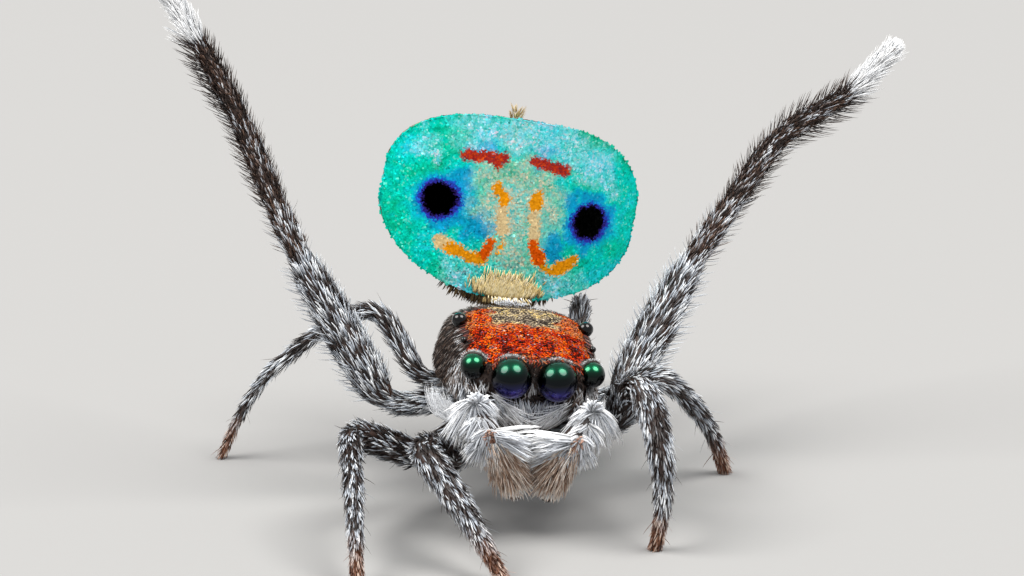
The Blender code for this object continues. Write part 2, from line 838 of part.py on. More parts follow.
def leg_points(leg):
    """The joints of a leg, from its root beside the sternum to its tip."""
    root = HEAD @ mirrored(LEG_ROOTS[leg.pair], leg.side)
    thigh = Vector(leg.thigh)
    knee = Vector(leg.knee)
    if isinstance(leg, RaisedLeg):
        points = [root, thigh, knee]
        for length, rise, heading in leg.segments:
            rise, heading = math.radians(rise), math.radians(heading)
            level = length * math.cos(rise)
            step = Vector((level * math.sin(heading), -level * math.cos(heading), length * math.sin(rise)))
            points.append(points[-1] + step)
        return points
    foot = Vector((*leg.foot, 0.0))
    chord = foot - knee
    level = Vector((chord.x, chord.y, 0.0)).normalized()
    outward = (level - chord * (level.dot(chord) / chord.length_squared)).normalized()
    bow = outward * leg.bow + Vector((leg.side * leg.splay, 0.0, 0.0))
    shank = [knee + chord * share + bow * (4 * share * (1 - share)) for share in SHANK_SHARES]
    return [root, thigh, knee, *shank, foot]


def leg_radius(lengths, marks, girth, index):
    """Radius of a leg at one sample, with a slight neck at each joint."""
    controls = (
        girth.coxa, girth.thigh, girth.knee, girth.tibia * 1.02,
        girth.metatarsus * 1.04, girth.tarsus * 1.08, girth.tarsus,
    )
    place = lengths[index]
    stops = [lengths[m] for m in marks]
    radius = controls[-1]
    for k in range(len(stops) - 1):
        if place <= stops[k + 1]:
            share = (place - stops[k]) / (stops[k + 1] - stops[k])
            radius = controls[k] + share * (controls[k + 1] - controls[k])
            if k == 1:
                middle = 4 * share * (1 - share)
                radius += middle * (girth.femur - (girth.thigh + girth.knee) / 2)
            break
    nearest = min(abs(place - stop) for stop in stops[1:-1])
    return radius * (1 - JOINT_NECK * math.exp(-((nearest / NECK_LENGTH) ** 2)))


def build_leg(name, leg):
    """One leg in four nodes: coxa, femur, tibia with patella, and foot."""
    girth = GIRTHS[leg.pair]
    standing = isinstance(leg, StandingLeg)
    points = leg_points(leg)
    samples, marks = round_path(points, KNEE_ROUNDING)
    if standing:
        down = Vector((0.0, 0.0, -1.0))
        ankle = points[-1] + (points[-2] - points[-1]).normalized() * ANKLE_RISE
        samples[-2] = ankle
    directions = tangents(samples)
    if standing:
        directions[-2] = (directions[-2] + down).normalized()
        directions[-1] = down
    crosses = frames_along(directions)
    lengths = lengths_along(samples)
    cuts = [marks[1], marks[2], marks[4]]
    nodes = ("coxa", "femur", "tibia", "foot")
    bounds = [0, *cuts, len(samples) - 1]
    for node, first, last in zip(nodes, bounds, bounds[1:]):
        rings = []
        for i in range(first, last + 1):
            centre = samples[i]
            if i == first and first > 0:
                centre = centre + directions[i] * (GAP / 2)
            if i == last and last < len(samples) - 1:
                centre = centre - directions[i] * (GAP / 2)
            radius = leg_radius(lengths, marks, girth, i)
            if standing and i == len(samples) - 1:
                radius = SOLE_RADIUS
            rings.append(ring_at(centre, crosses[i], radius, LEG_SIDES))
        limb = piece(f"{name}_{node}", skin_rings(rings), "leg")
        if not standing and node in FRINGES:
            radii = [leg_radius(lengths, marks, girth, i) for i in range(first, last + 1)]
            stretch = samples[first:last + 1]
            dress(limb, fringe_locks(leg.side, FRINGES[node], stretch, radii, f"{name} {node}"))


def fringe_locks(side, fringes, samples, radii, seed):
    """The locks of one stretch of a raised leg."""
    draw = random.Random(seed)
    lengths = lengths_along(samples)
    directions = tangents(samples)
    made = []
    for fringe in fringes:
        for row, degrees in enumerate(fringe.angles):
            for k in range(fringe.count):
                share = (k + 0.5 * (row % 2) + draw.uniform(-0.15, 0.15)) / fringe.count
                place = lengths[-1] * (fringe.start + (fringe.stop - fringe.start) * max(share, 0.0))
                index = max(i for i, length in enumerate(lengths[:-1]) if length <= place)
                blend = (place - lengths[index]) / (lengths[index + 1] - lengths[index])
                centre = samples[index].lerp(samples[index + 1], blend)
                radius = radii[index] + blend * (radii[index + 1] - radii[index])
                heading = directions[index].lerp(directions[index + 1], blend).normalized()
                outer = Vector((side, 0.0, 0.0))
                outer = (outer - heading * outer.dot(heading)).normalized()
                front = heading.cross(outer) * side
                angle = math.radians(degrees + draw.uniform(-8, 8))
                outward = outer * math.cos(angle) + front * math.sin(angle)
                lean = math.radians(fringe.lean + draw.uniform(-6, 6))
                direction = outward * math.cos(lean) + heading * math.sin(lean)
                made.append(lock(
                    centre + outward * (radius * 0.96), direction, heading * 0.25 - outward * 0.12,
                    varied(draw, fringe.length), fringe.width, heading.cross(outward), "leg",
                ))
    return made


def settle(objects):
    """Move the origin to the middle of the footprint and turn millimetres into metres."""
    corners = [vert.co for obj in objects for vert in obj.data.vertices]
    low = Vector([min(corner[k] for corner in corners) for k in range(3)])
    high = Vector([max(corner[k] for corner in corners) for k in range(3)])
    middle = (low + high) / 2
    shift = Matrix.Translation((-middle.x, -middle.y, 0.0))
    stance = bpy.data.objects.new("stance", None)
    bpy.context.scene.collection.objects.link(stance)
    for obj in objects:
        obj.data.transform(Matrix.Scale(MILLIMETRE, 4) @ shift)
        root = sum((vert.co for vert in obj.data.vertices), Vector()) / len(obj.data.vertices)
        obj.data.transform(Matrix.Translation(-root))
        obj.location = root
        obj.parent = stance


def main():
    """Build every node of the spider."""
    for obj in list(bpy.data.objects):
        bpy.data.objects.remove(obj)
    build_carapace()
    build_sternum()
    build_eyes()
    build_mouthparts()
    build_fan()
    for name, leg in LEGS.items():
        build_leg(name, leg)
    settle([obj for obj in bpy.data.objects if obj.type == "MESH"])


main()
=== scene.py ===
"""The looks of a life-size peacock spider: a male in its courtship stance.

Shapes are worked out in millimetres, in the model's own axes, and become metres
when a piece is finished.  The spider faces -Y and has its left side at +X.
"""

import logging
import math
from collections.abc import Callable
from dataclasses import dataclass, field
from enum import Enum

import bpy
import numpy as np
from mathutils import Matrix, Vector, noise


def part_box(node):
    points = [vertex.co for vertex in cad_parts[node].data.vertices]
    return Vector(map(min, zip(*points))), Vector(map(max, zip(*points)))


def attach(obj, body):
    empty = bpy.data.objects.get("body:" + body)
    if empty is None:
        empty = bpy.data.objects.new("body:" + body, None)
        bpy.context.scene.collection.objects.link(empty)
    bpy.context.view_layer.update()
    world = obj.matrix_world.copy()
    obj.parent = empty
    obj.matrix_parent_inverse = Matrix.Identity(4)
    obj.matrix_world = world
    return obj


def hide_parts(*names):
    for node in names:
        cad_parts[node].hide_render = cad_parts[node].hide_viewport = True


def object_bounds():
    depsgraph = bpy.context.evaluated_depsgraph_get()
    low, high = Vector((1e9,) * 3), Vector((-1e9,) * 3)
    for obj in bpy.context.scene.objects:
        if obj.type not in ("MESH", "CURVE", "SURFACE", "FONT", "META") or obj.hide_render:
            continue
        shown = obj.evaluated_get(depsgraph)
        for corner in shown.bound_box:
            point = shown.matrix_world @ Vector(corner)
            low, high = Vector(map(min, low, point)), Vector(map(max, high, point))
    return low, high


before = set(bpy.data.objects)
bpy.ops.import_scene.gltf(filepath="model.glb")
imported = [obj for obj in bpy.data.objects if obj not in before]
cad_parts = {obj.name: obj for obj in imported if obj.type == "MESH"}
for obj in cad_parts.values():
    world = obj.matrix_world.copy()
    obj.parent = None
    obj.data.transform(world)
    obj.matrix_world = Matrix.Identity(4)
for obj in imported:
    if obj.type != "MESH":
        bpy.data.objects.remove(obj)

LOG = logging.getLogger("peacock_spider")
CAD_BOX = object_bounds()
MM = 0.001

# Stance of the head and the fan, as in the solids
EYE_HEIGHT = 1.70
NOSE_DOWN = 8.0
LEAN_LEFT = 8.0
FAN_CENTRE = (0.165, 2.25, 2.84)
FAN_TILT = 12.5
FAN_LEAN_BACK = 7.0

# How far the skin lies inside the tips of the coat, and the grain of the body's skin
COAT_DEPTH = 0.055
VOXEL = 0.030

# The unwrapped skin has a strip for each of the eight legs and two palps
STRIPS = 10


def turn(angle: float, axis: str) -> Matrix:
    """Rotation matrix for an angle in degrees about a named axis."""
    return Matrix.Rotation(math.radians(angle), 4, axis)


def unit(vectors: np.ndarray) -> np.ndarray:
    """Vectors of length one, row by row."""
    return vectors / np.maximum(np.linalg.norm(vectors, axis=-1, keepdims=True), 1e-12)


def dot(a: np.ndarray, b: np.ndarray) -> np.ndarray:
    """Row by row products, as a column."""
    return np.sum(a * b, axis=-1, keepdims=True)


def stacked(*parts: float | np.ndarray) -> np.ndarray:
    """Columns side by side, where a single number fills its whole column."""
    return np.stack(np.broadcast_arrays(*parts), axis=1)


def level_with(vectors: np.ndarray, normals: np.ndarray) -> np.ndarray:
    """Directions turned into the plane that each normal stands on."""
    return unit(vectors - normals * dot(vectors, normals))


def side_of(name: str) -> float:
    """1 for a name on the left side and -1 for one on the right."""
    return 1.0 if name.endswith("left") else -1.0


def step(values: np.ndarray, start: float, end: float) -> np.ndarray:
    """A smooth rise from 0 at the start to 1 at the end."""
    share = np.clip((values - start) / (end - start), 0.0, 1.0)
    return share * share * (3 - 2 * share)


def mottle(points: np.ndarray, size: float, seed: float) -> np.ndarray:
    """Smooth noise from about 0 to 1, in patches of a given size."""
    offset = Vector((seed * 7.3, seed * 3.1, seed * 5.7))
    return np.array([0.5 + 0.5 * noise.noise(Vector(p) / size + offset) for p in points])


def bundled(draw: tuple[np.ndarray, ...], own: tuple[np.ndarray, ...], pull: float) -> list[np.ndarray]:
    """Random draws gathered into bundles, so that hairs lie in strands with gaps between them.

    Args:
        draw: draws for each hair; the first says which bundle it is in.
        own: draws for each bundle.
        pull: how close the hairs of a bundle come, from 0 to 1.

    Returns:
        The draws for each hair, pulled towards those of its bundle.
    """
    count = len(own[0])
    number = np.minimum((draw[0] * count).astype(int), count - 1)
    first = draw[0] + ((number + 0.5) / count - draw[0]) * pull
    return [first, *(d + (o[number] - d) * pull for d, o in zip(draw[1:], own[1:]))]


def paint(code: str) -> tuple[float, float, float, float]:
    """A colour for a shader from its six-digit code on a screen."""
    parts = [int(code[k:k + 2], 16) / 255 for k in (0, 2, 4)]
    return (*(c / 12.92 if c <= 0.04045 else ((c + 0.055) / 1.055) ** 2.4 for c in parts), 1.0)


@dataclass(frozen=True)
class Axes:
    """A placed set of axes, such as the head's own."""

    matrix: Matrix

    @property
    def turned(self) -> np.ndarray:
        """The rotation alone."""
        return np.array(self.matrix.to_3x3())

    @property
    def origin(self) -> np.ndarray:
        """The place of the origin."""
        return np.array(self.matrix.translation)

    def out(self, points: np.ndarray) -> np.ndarray:
        """Points given in these axes, in the model's axes."""
        return np.asarray(points, float) @ self.turned.T + self.origin

    def into(self, points: np.ndarray) -> np.ndarray:
        """Points of the model, in these axes."""
        return (points - self.origin) @ self.turned

    def aim(self, vectors: np.ndarray) -> np.ndarray:
        """Directions given in these axes, in the model's axes."""
        return np.asarray(vectors, float) @ self.turned.T


def centre_of(node: str) -> Vector:
    """Middle of a node's box, in millimetres."""
    low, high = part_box(node)
    return (low + high) / (2 * MM)


SHIFT = (centre_of("eye_front_left") + centre_of("eye_front_right")) / 2 - Vector((0, 0, EYE_HEIGHT))
HEAD = Axes(Matrix.Translation(SHIFT + Vector((0, 0, EYE_HEIGHT)))
            @ turn(LEAN_LEFT, "Y") @ turn(NOSE_DOWN, "X"))
FAN = Axes(Matrix.Translation(SHIFT + Vector(FAN_CENTRE))
           @ turn(FAN_TILT, "Y") @ turn(-FAN_LEAN_BACK, "X"))


# Meshes


def clear_selection() -> None:
    """Leave nothing selected, in object mode."""
    bpy.ops.object.select_all(action="DESELECT")


def coordinates(mesh: bpy.types.Mesh) -> np.ndarray:
    """The places of a mesh's vertices, one row each."""
    flat = np.empty(len(mesh.vertices) * 3)
    mesh.vertices.foreach_get("co", flat)
    return flat.reshape(-1, 3)


def set_coordinates(mesh: bpy.types.Mesh, points: np.ndarray) -> None:
    """Move a mesh's vertices to new places."""
    mesh.vertices.foreach_set("co", np.ascontiguousarray(points, dtype=float).ravel())
    mesh.update()


def set_attribute(mesh: bpy.types.Mesh, name: str, values: np.ndarray) -> None:
    """Store a number or three numbers for each vertex."""
    kind, key = ("FLOAT", "value") if values.ndim == 1 else ("FLOAT_VECTOR", "vector")
    attribute = mesh.attributes.new(name, kind, "POINT")
    attribute.data.foreach_set(key, np.ascontiguousarray(values, dtype=np.float32).ravel())


def add_object(name: str, data: bpy.types.ID) -> bpy.types.Object:
    """A new object of the scene."""
    obj = bpy.data.objects.new(name, data)
    bpy.context.scene.collection.objects.link(obj)
    return obj


def edit_all() -> None:
    """Enter edit mode with the whole mesh selected."""
    bpy.ops.object.mode_set(mode="EDIT")
    bpy.ops.mesh.select_all(action="SELECT")


def join(objects: list[bpy.types.Object], name: str) -> bpy.types.Object:
    """Join several meshes into one object."""
    clear_selection()
    for obj in objects:
        obj.select_set(True)
    bpy.context.view_layer.objects.active = objects[0]
    bpy.ops.object.join()
    objects[0].name = name
    return objects[0]


def apply_modifier(obj: bpy.types.Object, kind: str, **settings: object) -> None:
    """Add a modifier with its settings and apply it."""
    modifier = obj.modifiers.new(kind.lower(), kind)
    for key, value in settings.items():
        setattr(modifier, key, value)
    clear_selection()
    obj.select_set(True)
    bpy.context.view_layer.objects.active = obj
    bpy.ops.object.modifier_apply(modifier=modifier.name)


def scatter(obj: bpy.types.Object, count: int, seed: int) -> tuple[np.ndarray, np.ndarray]:
    """Points spread evenly over a mesh.

    Args:
        obj: the mesh object, in millimetres.
        count: how many points.
        seed: start of the random draw.

    Returns:
        The points and the outward directions there.
    """
    mesh = obj.data
    mesh.calc_loop_triangles()
    corners = np.empty(len(mesh.loop_triangles) * 3, dtype=np.int32)
    mesh.loop_triangles.foreach_get("vertices", corners)
    a, b, c = (coordinates(mesh)[corners.reshape(-1, 3)[:, k]] for k in range(3))
    cross = np.cross(b - a, c - a)
    total = np.cumsum(np.linalg.norm(cross, axis=1))
    draw = np.random.default_rng(seed)
    marks = (np.arange(count) + draw.random(count)) / count * total[-1]
    pick = np.minimum(np.searchsorted(total, marks), len(total) - 1)
    u, v = draw.random((2, count, 1))
    over = u + v > 1
    u, v = np.where(over, 1 - u, u), np.where(over, 1 - v, v)
    points = a[pick] + u * (b - a)[pick] + v * (c - a)[pick]
    return points, unit(cross[pick])


def finish_piece(obj: bpy.types.Object, material: bpy.types.Material,
                 nodes: tuple[str, ...] = ()) -> bpy.types.Object:
    """Turn a piece into metres, give it its finish and tie it to the frame.

    Args:
        obj: the piece, modelled in millimetres about the model's own origin.
        material: its finish.
        nodes: the solids that it stands for.

    Returns:
        The same object.
    """
    obj.data.transform(Matrix.Scale(MM, 4))
    obj.data.materials.clear()
    obj.data.materials.append(material)
    obj.data.shade_smooth()
    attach(obj, "root")
    if nodes:
        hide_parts(*nodes)
    LOG.info("%s: %d vertices, %d faces", obj.name, len(obj.data.vertices), len(obj.data.polygons))
    return obj


# Hair and scales


class Strand(Enum):
    """Kinds of tuft: stations as share of the length and share of the width."""

    SCALE = ((0.0, 0.60), (0.45, 1.0), (0.86, 0.78))
    HAIR = ((0.0, 0.75), (0.40, 1.0), (0.75, 0.62))
    LONG = ((0.0, 0.80), (0.25, 1.0), (0.52, 0.86), (0.78, 0.55))
    LOCK = ((0.0, 0.75), (0.30, 1.0), (0.62, 0.96), (0.88, 0.64))


@dataclass
class Coat:
    """Many tufts of one kind, joined into one mesh."""

    name: str
    strand: Strand
    thickness: float = 0.38
    glint: float = 0.0
    parts: list = field(default_factory=list)

    PATCH = 0.003

    @property
    def per_tuft(self) -> int:
        """How many vertices a tuft has."""
        return 3 * len(self.strand.value) + 1

    def grow(self, roots: np.ndarray, headings: np.ndarray, faces: np.ndarray, lengths: np.ndarray,
             widths: np.ndarray, bends: np.ndarray, tones: np.ndarray, marks: np.ndarray,
             spots: np.ndarray) -> None:
        """Add tufts.

        Args:
            roots: where each starts.
            headings: the way each leaves its root.
            faces: the way the flat side of each looks.
            lengths: how long each is.
            widths: how wide each is.
            bends: how its tip moves aside, as a share of its length.
            tones: 0 for a dark one to 1 for a pale one.
            marks: the markings at its root, three numbers each.
            spots: its root's place on the unwrapped skin, two numbers each.
        """
        self.parts.append((roots, unit(headings), faces, lengths, widths, bends, tones, marks, spots))

    def triangles(self) -> np.ndarray:
        """The triangles of one tuft, by the numbers of its vertices."""
        found = [(2, 1, 0)]
        last = self.per_tuft - 4
        for k in range(0, last, 3):
            for i in range(3):
                a, b = k + i, k + (i + 1) % 3
                found += [(a, b, b + 3), (a, b + 3, a + 3)]
        found += [(last + i, last + (i + 1) % 3, last + 3) for i in range(3)]
        return np.array(found)

    def finish(self, material: bpy.types.Material, slot: str) -> bpy.types.Object:
        """Make the mesh.

        Args:
            material: the finish.
            slot: meant as the record's material slot; not used.

        Returns:
            The finished piece.
        """
        roots, headings, faces, lengths, widths, bends, tones, marks, spots = (
            np.concatenate(column) for column in zip(*self.parts))
        count, per = len(roots), self.per_tuft
        across = unit(np.cross(headings, faces))
        verts = np.empty((count, per, 3))
        shares = np.empty(per)
        sides = np.empty(per)
        for k, (share, breadth) in enumerate(self.strand.value):
            middle = roots + lengths[:, None] * (headings * share + bends * share ** 2)
            ahead = unit(headings + 2 * share * bends)
            up = np.cross(across, ahead)
            half = across * (widths * breadth / 2)[:, None]
            ridge = up * (widths * breadth * self.thickness)[:, None]
            verts[:, 3 * k] = middle + ridge
            verts[:, 3 * k + 1] = middle + half
            verts[:, 3 * k + 2] = middle - half
            shares[3 * k:3 * k + 3] = share
            sides[3 * k:3 * k + 3] = (0.5, 1.0, 0.0)
        verts[:, -1] = roots + lengths[:, None] * (headings + bends)
        shares[-1], sides[-1] = 1.0, 0.5
        low, high = (np.array(corner) / MM for corner in CAD_BOX)
        verts = np.clip(verts, low, high)
        corners = (self.triangles()[None] + (np.arange(count) * per)[:, None, None]).ravel()
        mesh = bpy.data.meshes.new(self.name)
        mesh.vertices.add(count * per)
        mesh.loops.add(len(corners))
        mesh.polygons.add(len(corners) // 3)
        mesh.loops.foreach_set("vertex_index", corners.astype(np.int32))
        mesh.polygons.foreach_set("loop_start", np.arange(0, len(corners), 3, dtype=np.int32))
        mesh.vertices.foreach_set("co", verts.ravel())
        mesh.update(calc_edges=True)
        set_attribute(mesh, "tone", np.repeat(tones, per))
        set_attribute(mesh, "along", np.tile(shares, count))
        set_attribute(mesh, "marks", np.repeat(marks, per, axis=0))
        patch = stacked(sides - 0.5, shares) * self.PATCH
        spread = (np.clip(spots, 0.004, 0.992)[:, None] + patch[None]).reshape(-1, 2)
        mesh.uv_layers.new(name="OFBake").data.foreach_set("uv", spread[corners].ravel())
        obj = finish_piece(add_object(self.name, mesh), material)
        if self.glint:
            tilts = np.random.default_rng(count).normal(size=(count, 3)) * self.glint
            mesh.normals_split_custom_set_from_vertices(np.repeat(unit(faces + tilts), per, axis=0))
        return obj


# Tubes


def round_path(points: list[Vector], rounding: float) -> tuple[list[Vector], list[int]]:
    """A path with rounded corners.

    Args:
        points: the corners and the two ends.
        rounding: how far before and after a corner its curve starts and ends.

    Returns:
        The samples along the path, and which of them lie at the corners.
    """
    samples, marks = [points[0]], [0]
    for before, corner, after in zip(points, points[1:], points[2:]):
        reach_in = min(rounding, 0.46 * (corner - before).length)
        reach_out = min(rounding, 0.46 * (after - corner).length)
        start = corner + (before - corner).normalized() * reach_in
        end = corner + (after - corner).normalized() * reach_out
        samples.append((samples[-1] + start) / 2)
        for k in range(7):
            t = k / 6
            samples.append(start * (1 - t) ** 2 + corner * (2 * t * (1 - t)) + end * t * t)
        marks.append(len(samples) - 4)
    samples += [(samples[-1] + points[-1]) / 2, points[-1]]
    marks.append(len(samples) - 1)
    return samples, marks


class Limb:
    """A bent tube, such as a leg or a palp: its middle line and its radius along it."""

    def __init__(self, name: str, points: list[Vector], rounding: float, strip: int) -> None:
        """Lay out the middle line.

        Args:
            name: the limb's name.
            points: its joints, from the body to the tip.
            rounding: how far a bend's curve reaches from its joint.
            strip: which strip of the unwrapped skin it has.
        """
        samples, marks = round_path(points, rounding)
        self.name = name
        self.strip = strip
        self.line = np.array([list(p) for p in samples])
        parts = np.linalg.norm(np.diff(self.line, axis=0), axis=1)
        self.lengths = np.concatenate([[0.0], np.cumsum(parts)])
        self.joints = [self.lengths[m] for m in marks]
        self.headings = unit(np.gradient(self.line, axis=0))
        self.radii = np.full(len(self.line), 0.1)

    def swell(self, radius: Callable[[float], float]) -> None:
        """Set the skin's radius from a function of the distance along the limb."""
        self.radii = np.array([radius(length) for length in self.lengths])

    def at(self, distance: np.ndarray) -> tuple[np.ndarray, np.ndarray, np.ndarray]:
        """Centre, heading and radius at distances along the limb."""
        centre, heading = (stacked(*(np.interp(distance, self.lengths, column) for column in table.T))
                           for table in (self.line, self.headings))
        return centre, unit(heading), np.interp(distance, self.lengths, self.radii)

    def around(self, heading: np.ndarray, angle: np.ndarray, outer: np.ndarray) -> np.ndarray:
        """Directions out of the limb.

        Args:
            heading: the limb's own direction at each place.
            angle: angle in radians, from the outer side.
            outer: the way that counts as outer.

        Returns:
            One direction for each place.
        """
        side = level_with(outer, heading)
        front = np.cross(heading, side)
        return side * np.cos(angle)[:, None] + front * np.sin(angle)[:, None]

    def spots(self, distance: np.ndarray, angle: np.ndarray) -> np.ndarray:
        """Places on the unwrapped skin, in the limb's own strip."""
        turns = (angle / (2 * math.pi)) % 1.0
        return stacked((self.strip + 0.05 + 0.9 * turns) / STRIPS, distance / self.lengths[-1])

    def tube(self) -> bpy.types.Object:
        """The skin of the limb, as a closed tube with a rounded tip."""
        clear_selection()
        bpy.ops.curve.primitive_nurbs_path_add()
        obj = bpy.context.object
        obj.name = self.name
        curve = obj.data
        curve.splines.clear()
        spline = curve.splines.new("POLY")
        tip, last, heading = self.line[-1], self.radii[-1], self.headings[-1]
        line = np.vstack([self.line, tip + heading * last * 0.5, tip + heading * last * 0.8])
        radii = np.concatenate([self.radii, [last * 0.8, last * 0.4]])
        spline.points.add(len(line) - 1)
        spline.points.foreach_set("co", np.hstack([line, np.ones((len(line), 1))]).ravel())
        spline.points.foreach_set("radius", radii)
        curve.dimensions = "3D"
        curve.twist_mode = "MINIMUM"
        curve.bevel_mode = "ROUND"
        curve.bevel_depth = 1.0
        curve.bevel_resolution = 6
        curve.use_fill_caps = True
        bpy.ops.object.convert(target="MESH")
        return bpy.context.object


# Finishes


class Graph:
    """Adds nodes to a material or a group: a value that is a socket is linked, any other is set."""

    def __init__(self, tree: bpy.types.NodeTree) -> None:
        """Start on a node tree."""
        self.tree = tree

    def put(self, socket: bpy.types.NodeSocket, value: object) -> None:
        """Link or set one input."""
        if isinstance(value, bpy.types.NodeSocket):
            self.tree.links.new(value, socket)
        elif value is not None:
            socket.default_value = value

    def fill(self, node: bpy.types.Node, inputs: dict) -> None:
        """Link or set several inputs of a node, by name or number."""
        for key, value in inputs.items():
            self.put(node.inputs[key], value)

    def node(self, kind: str, inputs: dict | None = None, **settings: object) -> bpy.types.Node:
        """Add a node.

        Args:
            kind: its type, without the leading ShaderNode.
            inputs: values or sockets for its inputs, by name or number.
            settings: its own properties.

        Returns:
            The node.
        """
        made = self.tree.nodes.new("ShaderNode" + kind)
        for key, value in settings.items():
            setattr(made, key, value)
        self.fill(made, inputs or {})
        return made

    def math(self, operation: str, a: object, b: object = None) -> bpy.types.NodeSocket:
        """A sum, product or other simple step on numbers."""
        return self.node("Math", {0: a, 1: b}, operation=operation).outputs[0]

    def mix(self, share: object, a: object, b: object, blend: str = "MIX") -> bpy.types.NodeSocket:
        """One colour laid over another."""
        made = self.node("Mix", data_type="RGBA", blend_type=blend)
        self.fill(made, {0: share, 6: a, 7: b})
        return made.outputs[2]

    def ramp(self, value: object, stops: tuple[tuple[float, str], ...]) -> bpy.types.NodeSocket:
        """A colour for each value, between named stops."""
        made = self.node("ValToRGB", {0: value})
        elements = made.color_ramp.elements
        while len(elements) < len(stops):
            elements.new(0.5)
        for element, (place, code) in zip(elements, stops):
            element.position = place
            element.color = paint(code)
        return made.outputs[0]

    def attribute(self, name: str) -> bpy.types.Node:
        """A value that the mesh carries."""
        return self.node("Attribute", attribute_name=name)

    def speckle(self, size: float, detail: float = 2.0) -> bpy.types.NodeSocket:
        """Noise in the model's own axes, with grains of a size in millimetres."""
        inputs = {"Vector": self.node("TexCoord").outputs["Object"],
                  "Scale": 1 / (size * MM), "Detail": detail}
        return self.node("TexNoise", inputs).outputs[0]


def new_material(name: str) -> tuple[bpy.types.Material, Graph, bpy.types.Node]:
    """A material with its graph and its shader."""
    material = bpy.data.materials.new(name)
    material.use_nodes = True
    return material, Graph(material.node_tree), material.node_tree.nodes["Principled BSDF"]


def new_group(name: str, inputs: dict[str, str],
              outputs: dict[str, str]) -> tuple[bpy.types.NodeTree, Graph, dict, dict]:
    """A node group with named sockets.

    Args:
        name: the group's name.
        inputs: socket names and types.
        outputs: socket names and types.

    Returns:
        The group, its graph, the sockets that its inputs give, and those that its outputs take.
    """
    tree = bpy.data.node_groups.new(name, "ShaderNodeTree")
    for way, sockets in (("INPUT", inputs), ("OUTPUT", outputs)):
        for key, kind in sockets.items():
            tree.interface.new_socket(key, in_out=way, socket_type="NodeSocket" + kind)
    given = tree.nodes.new("NodeGroupInput").outputs
    taken = tree.nodes.new("NodeGroupOutput").inputs
    return tree, Graph(tree), given, taken


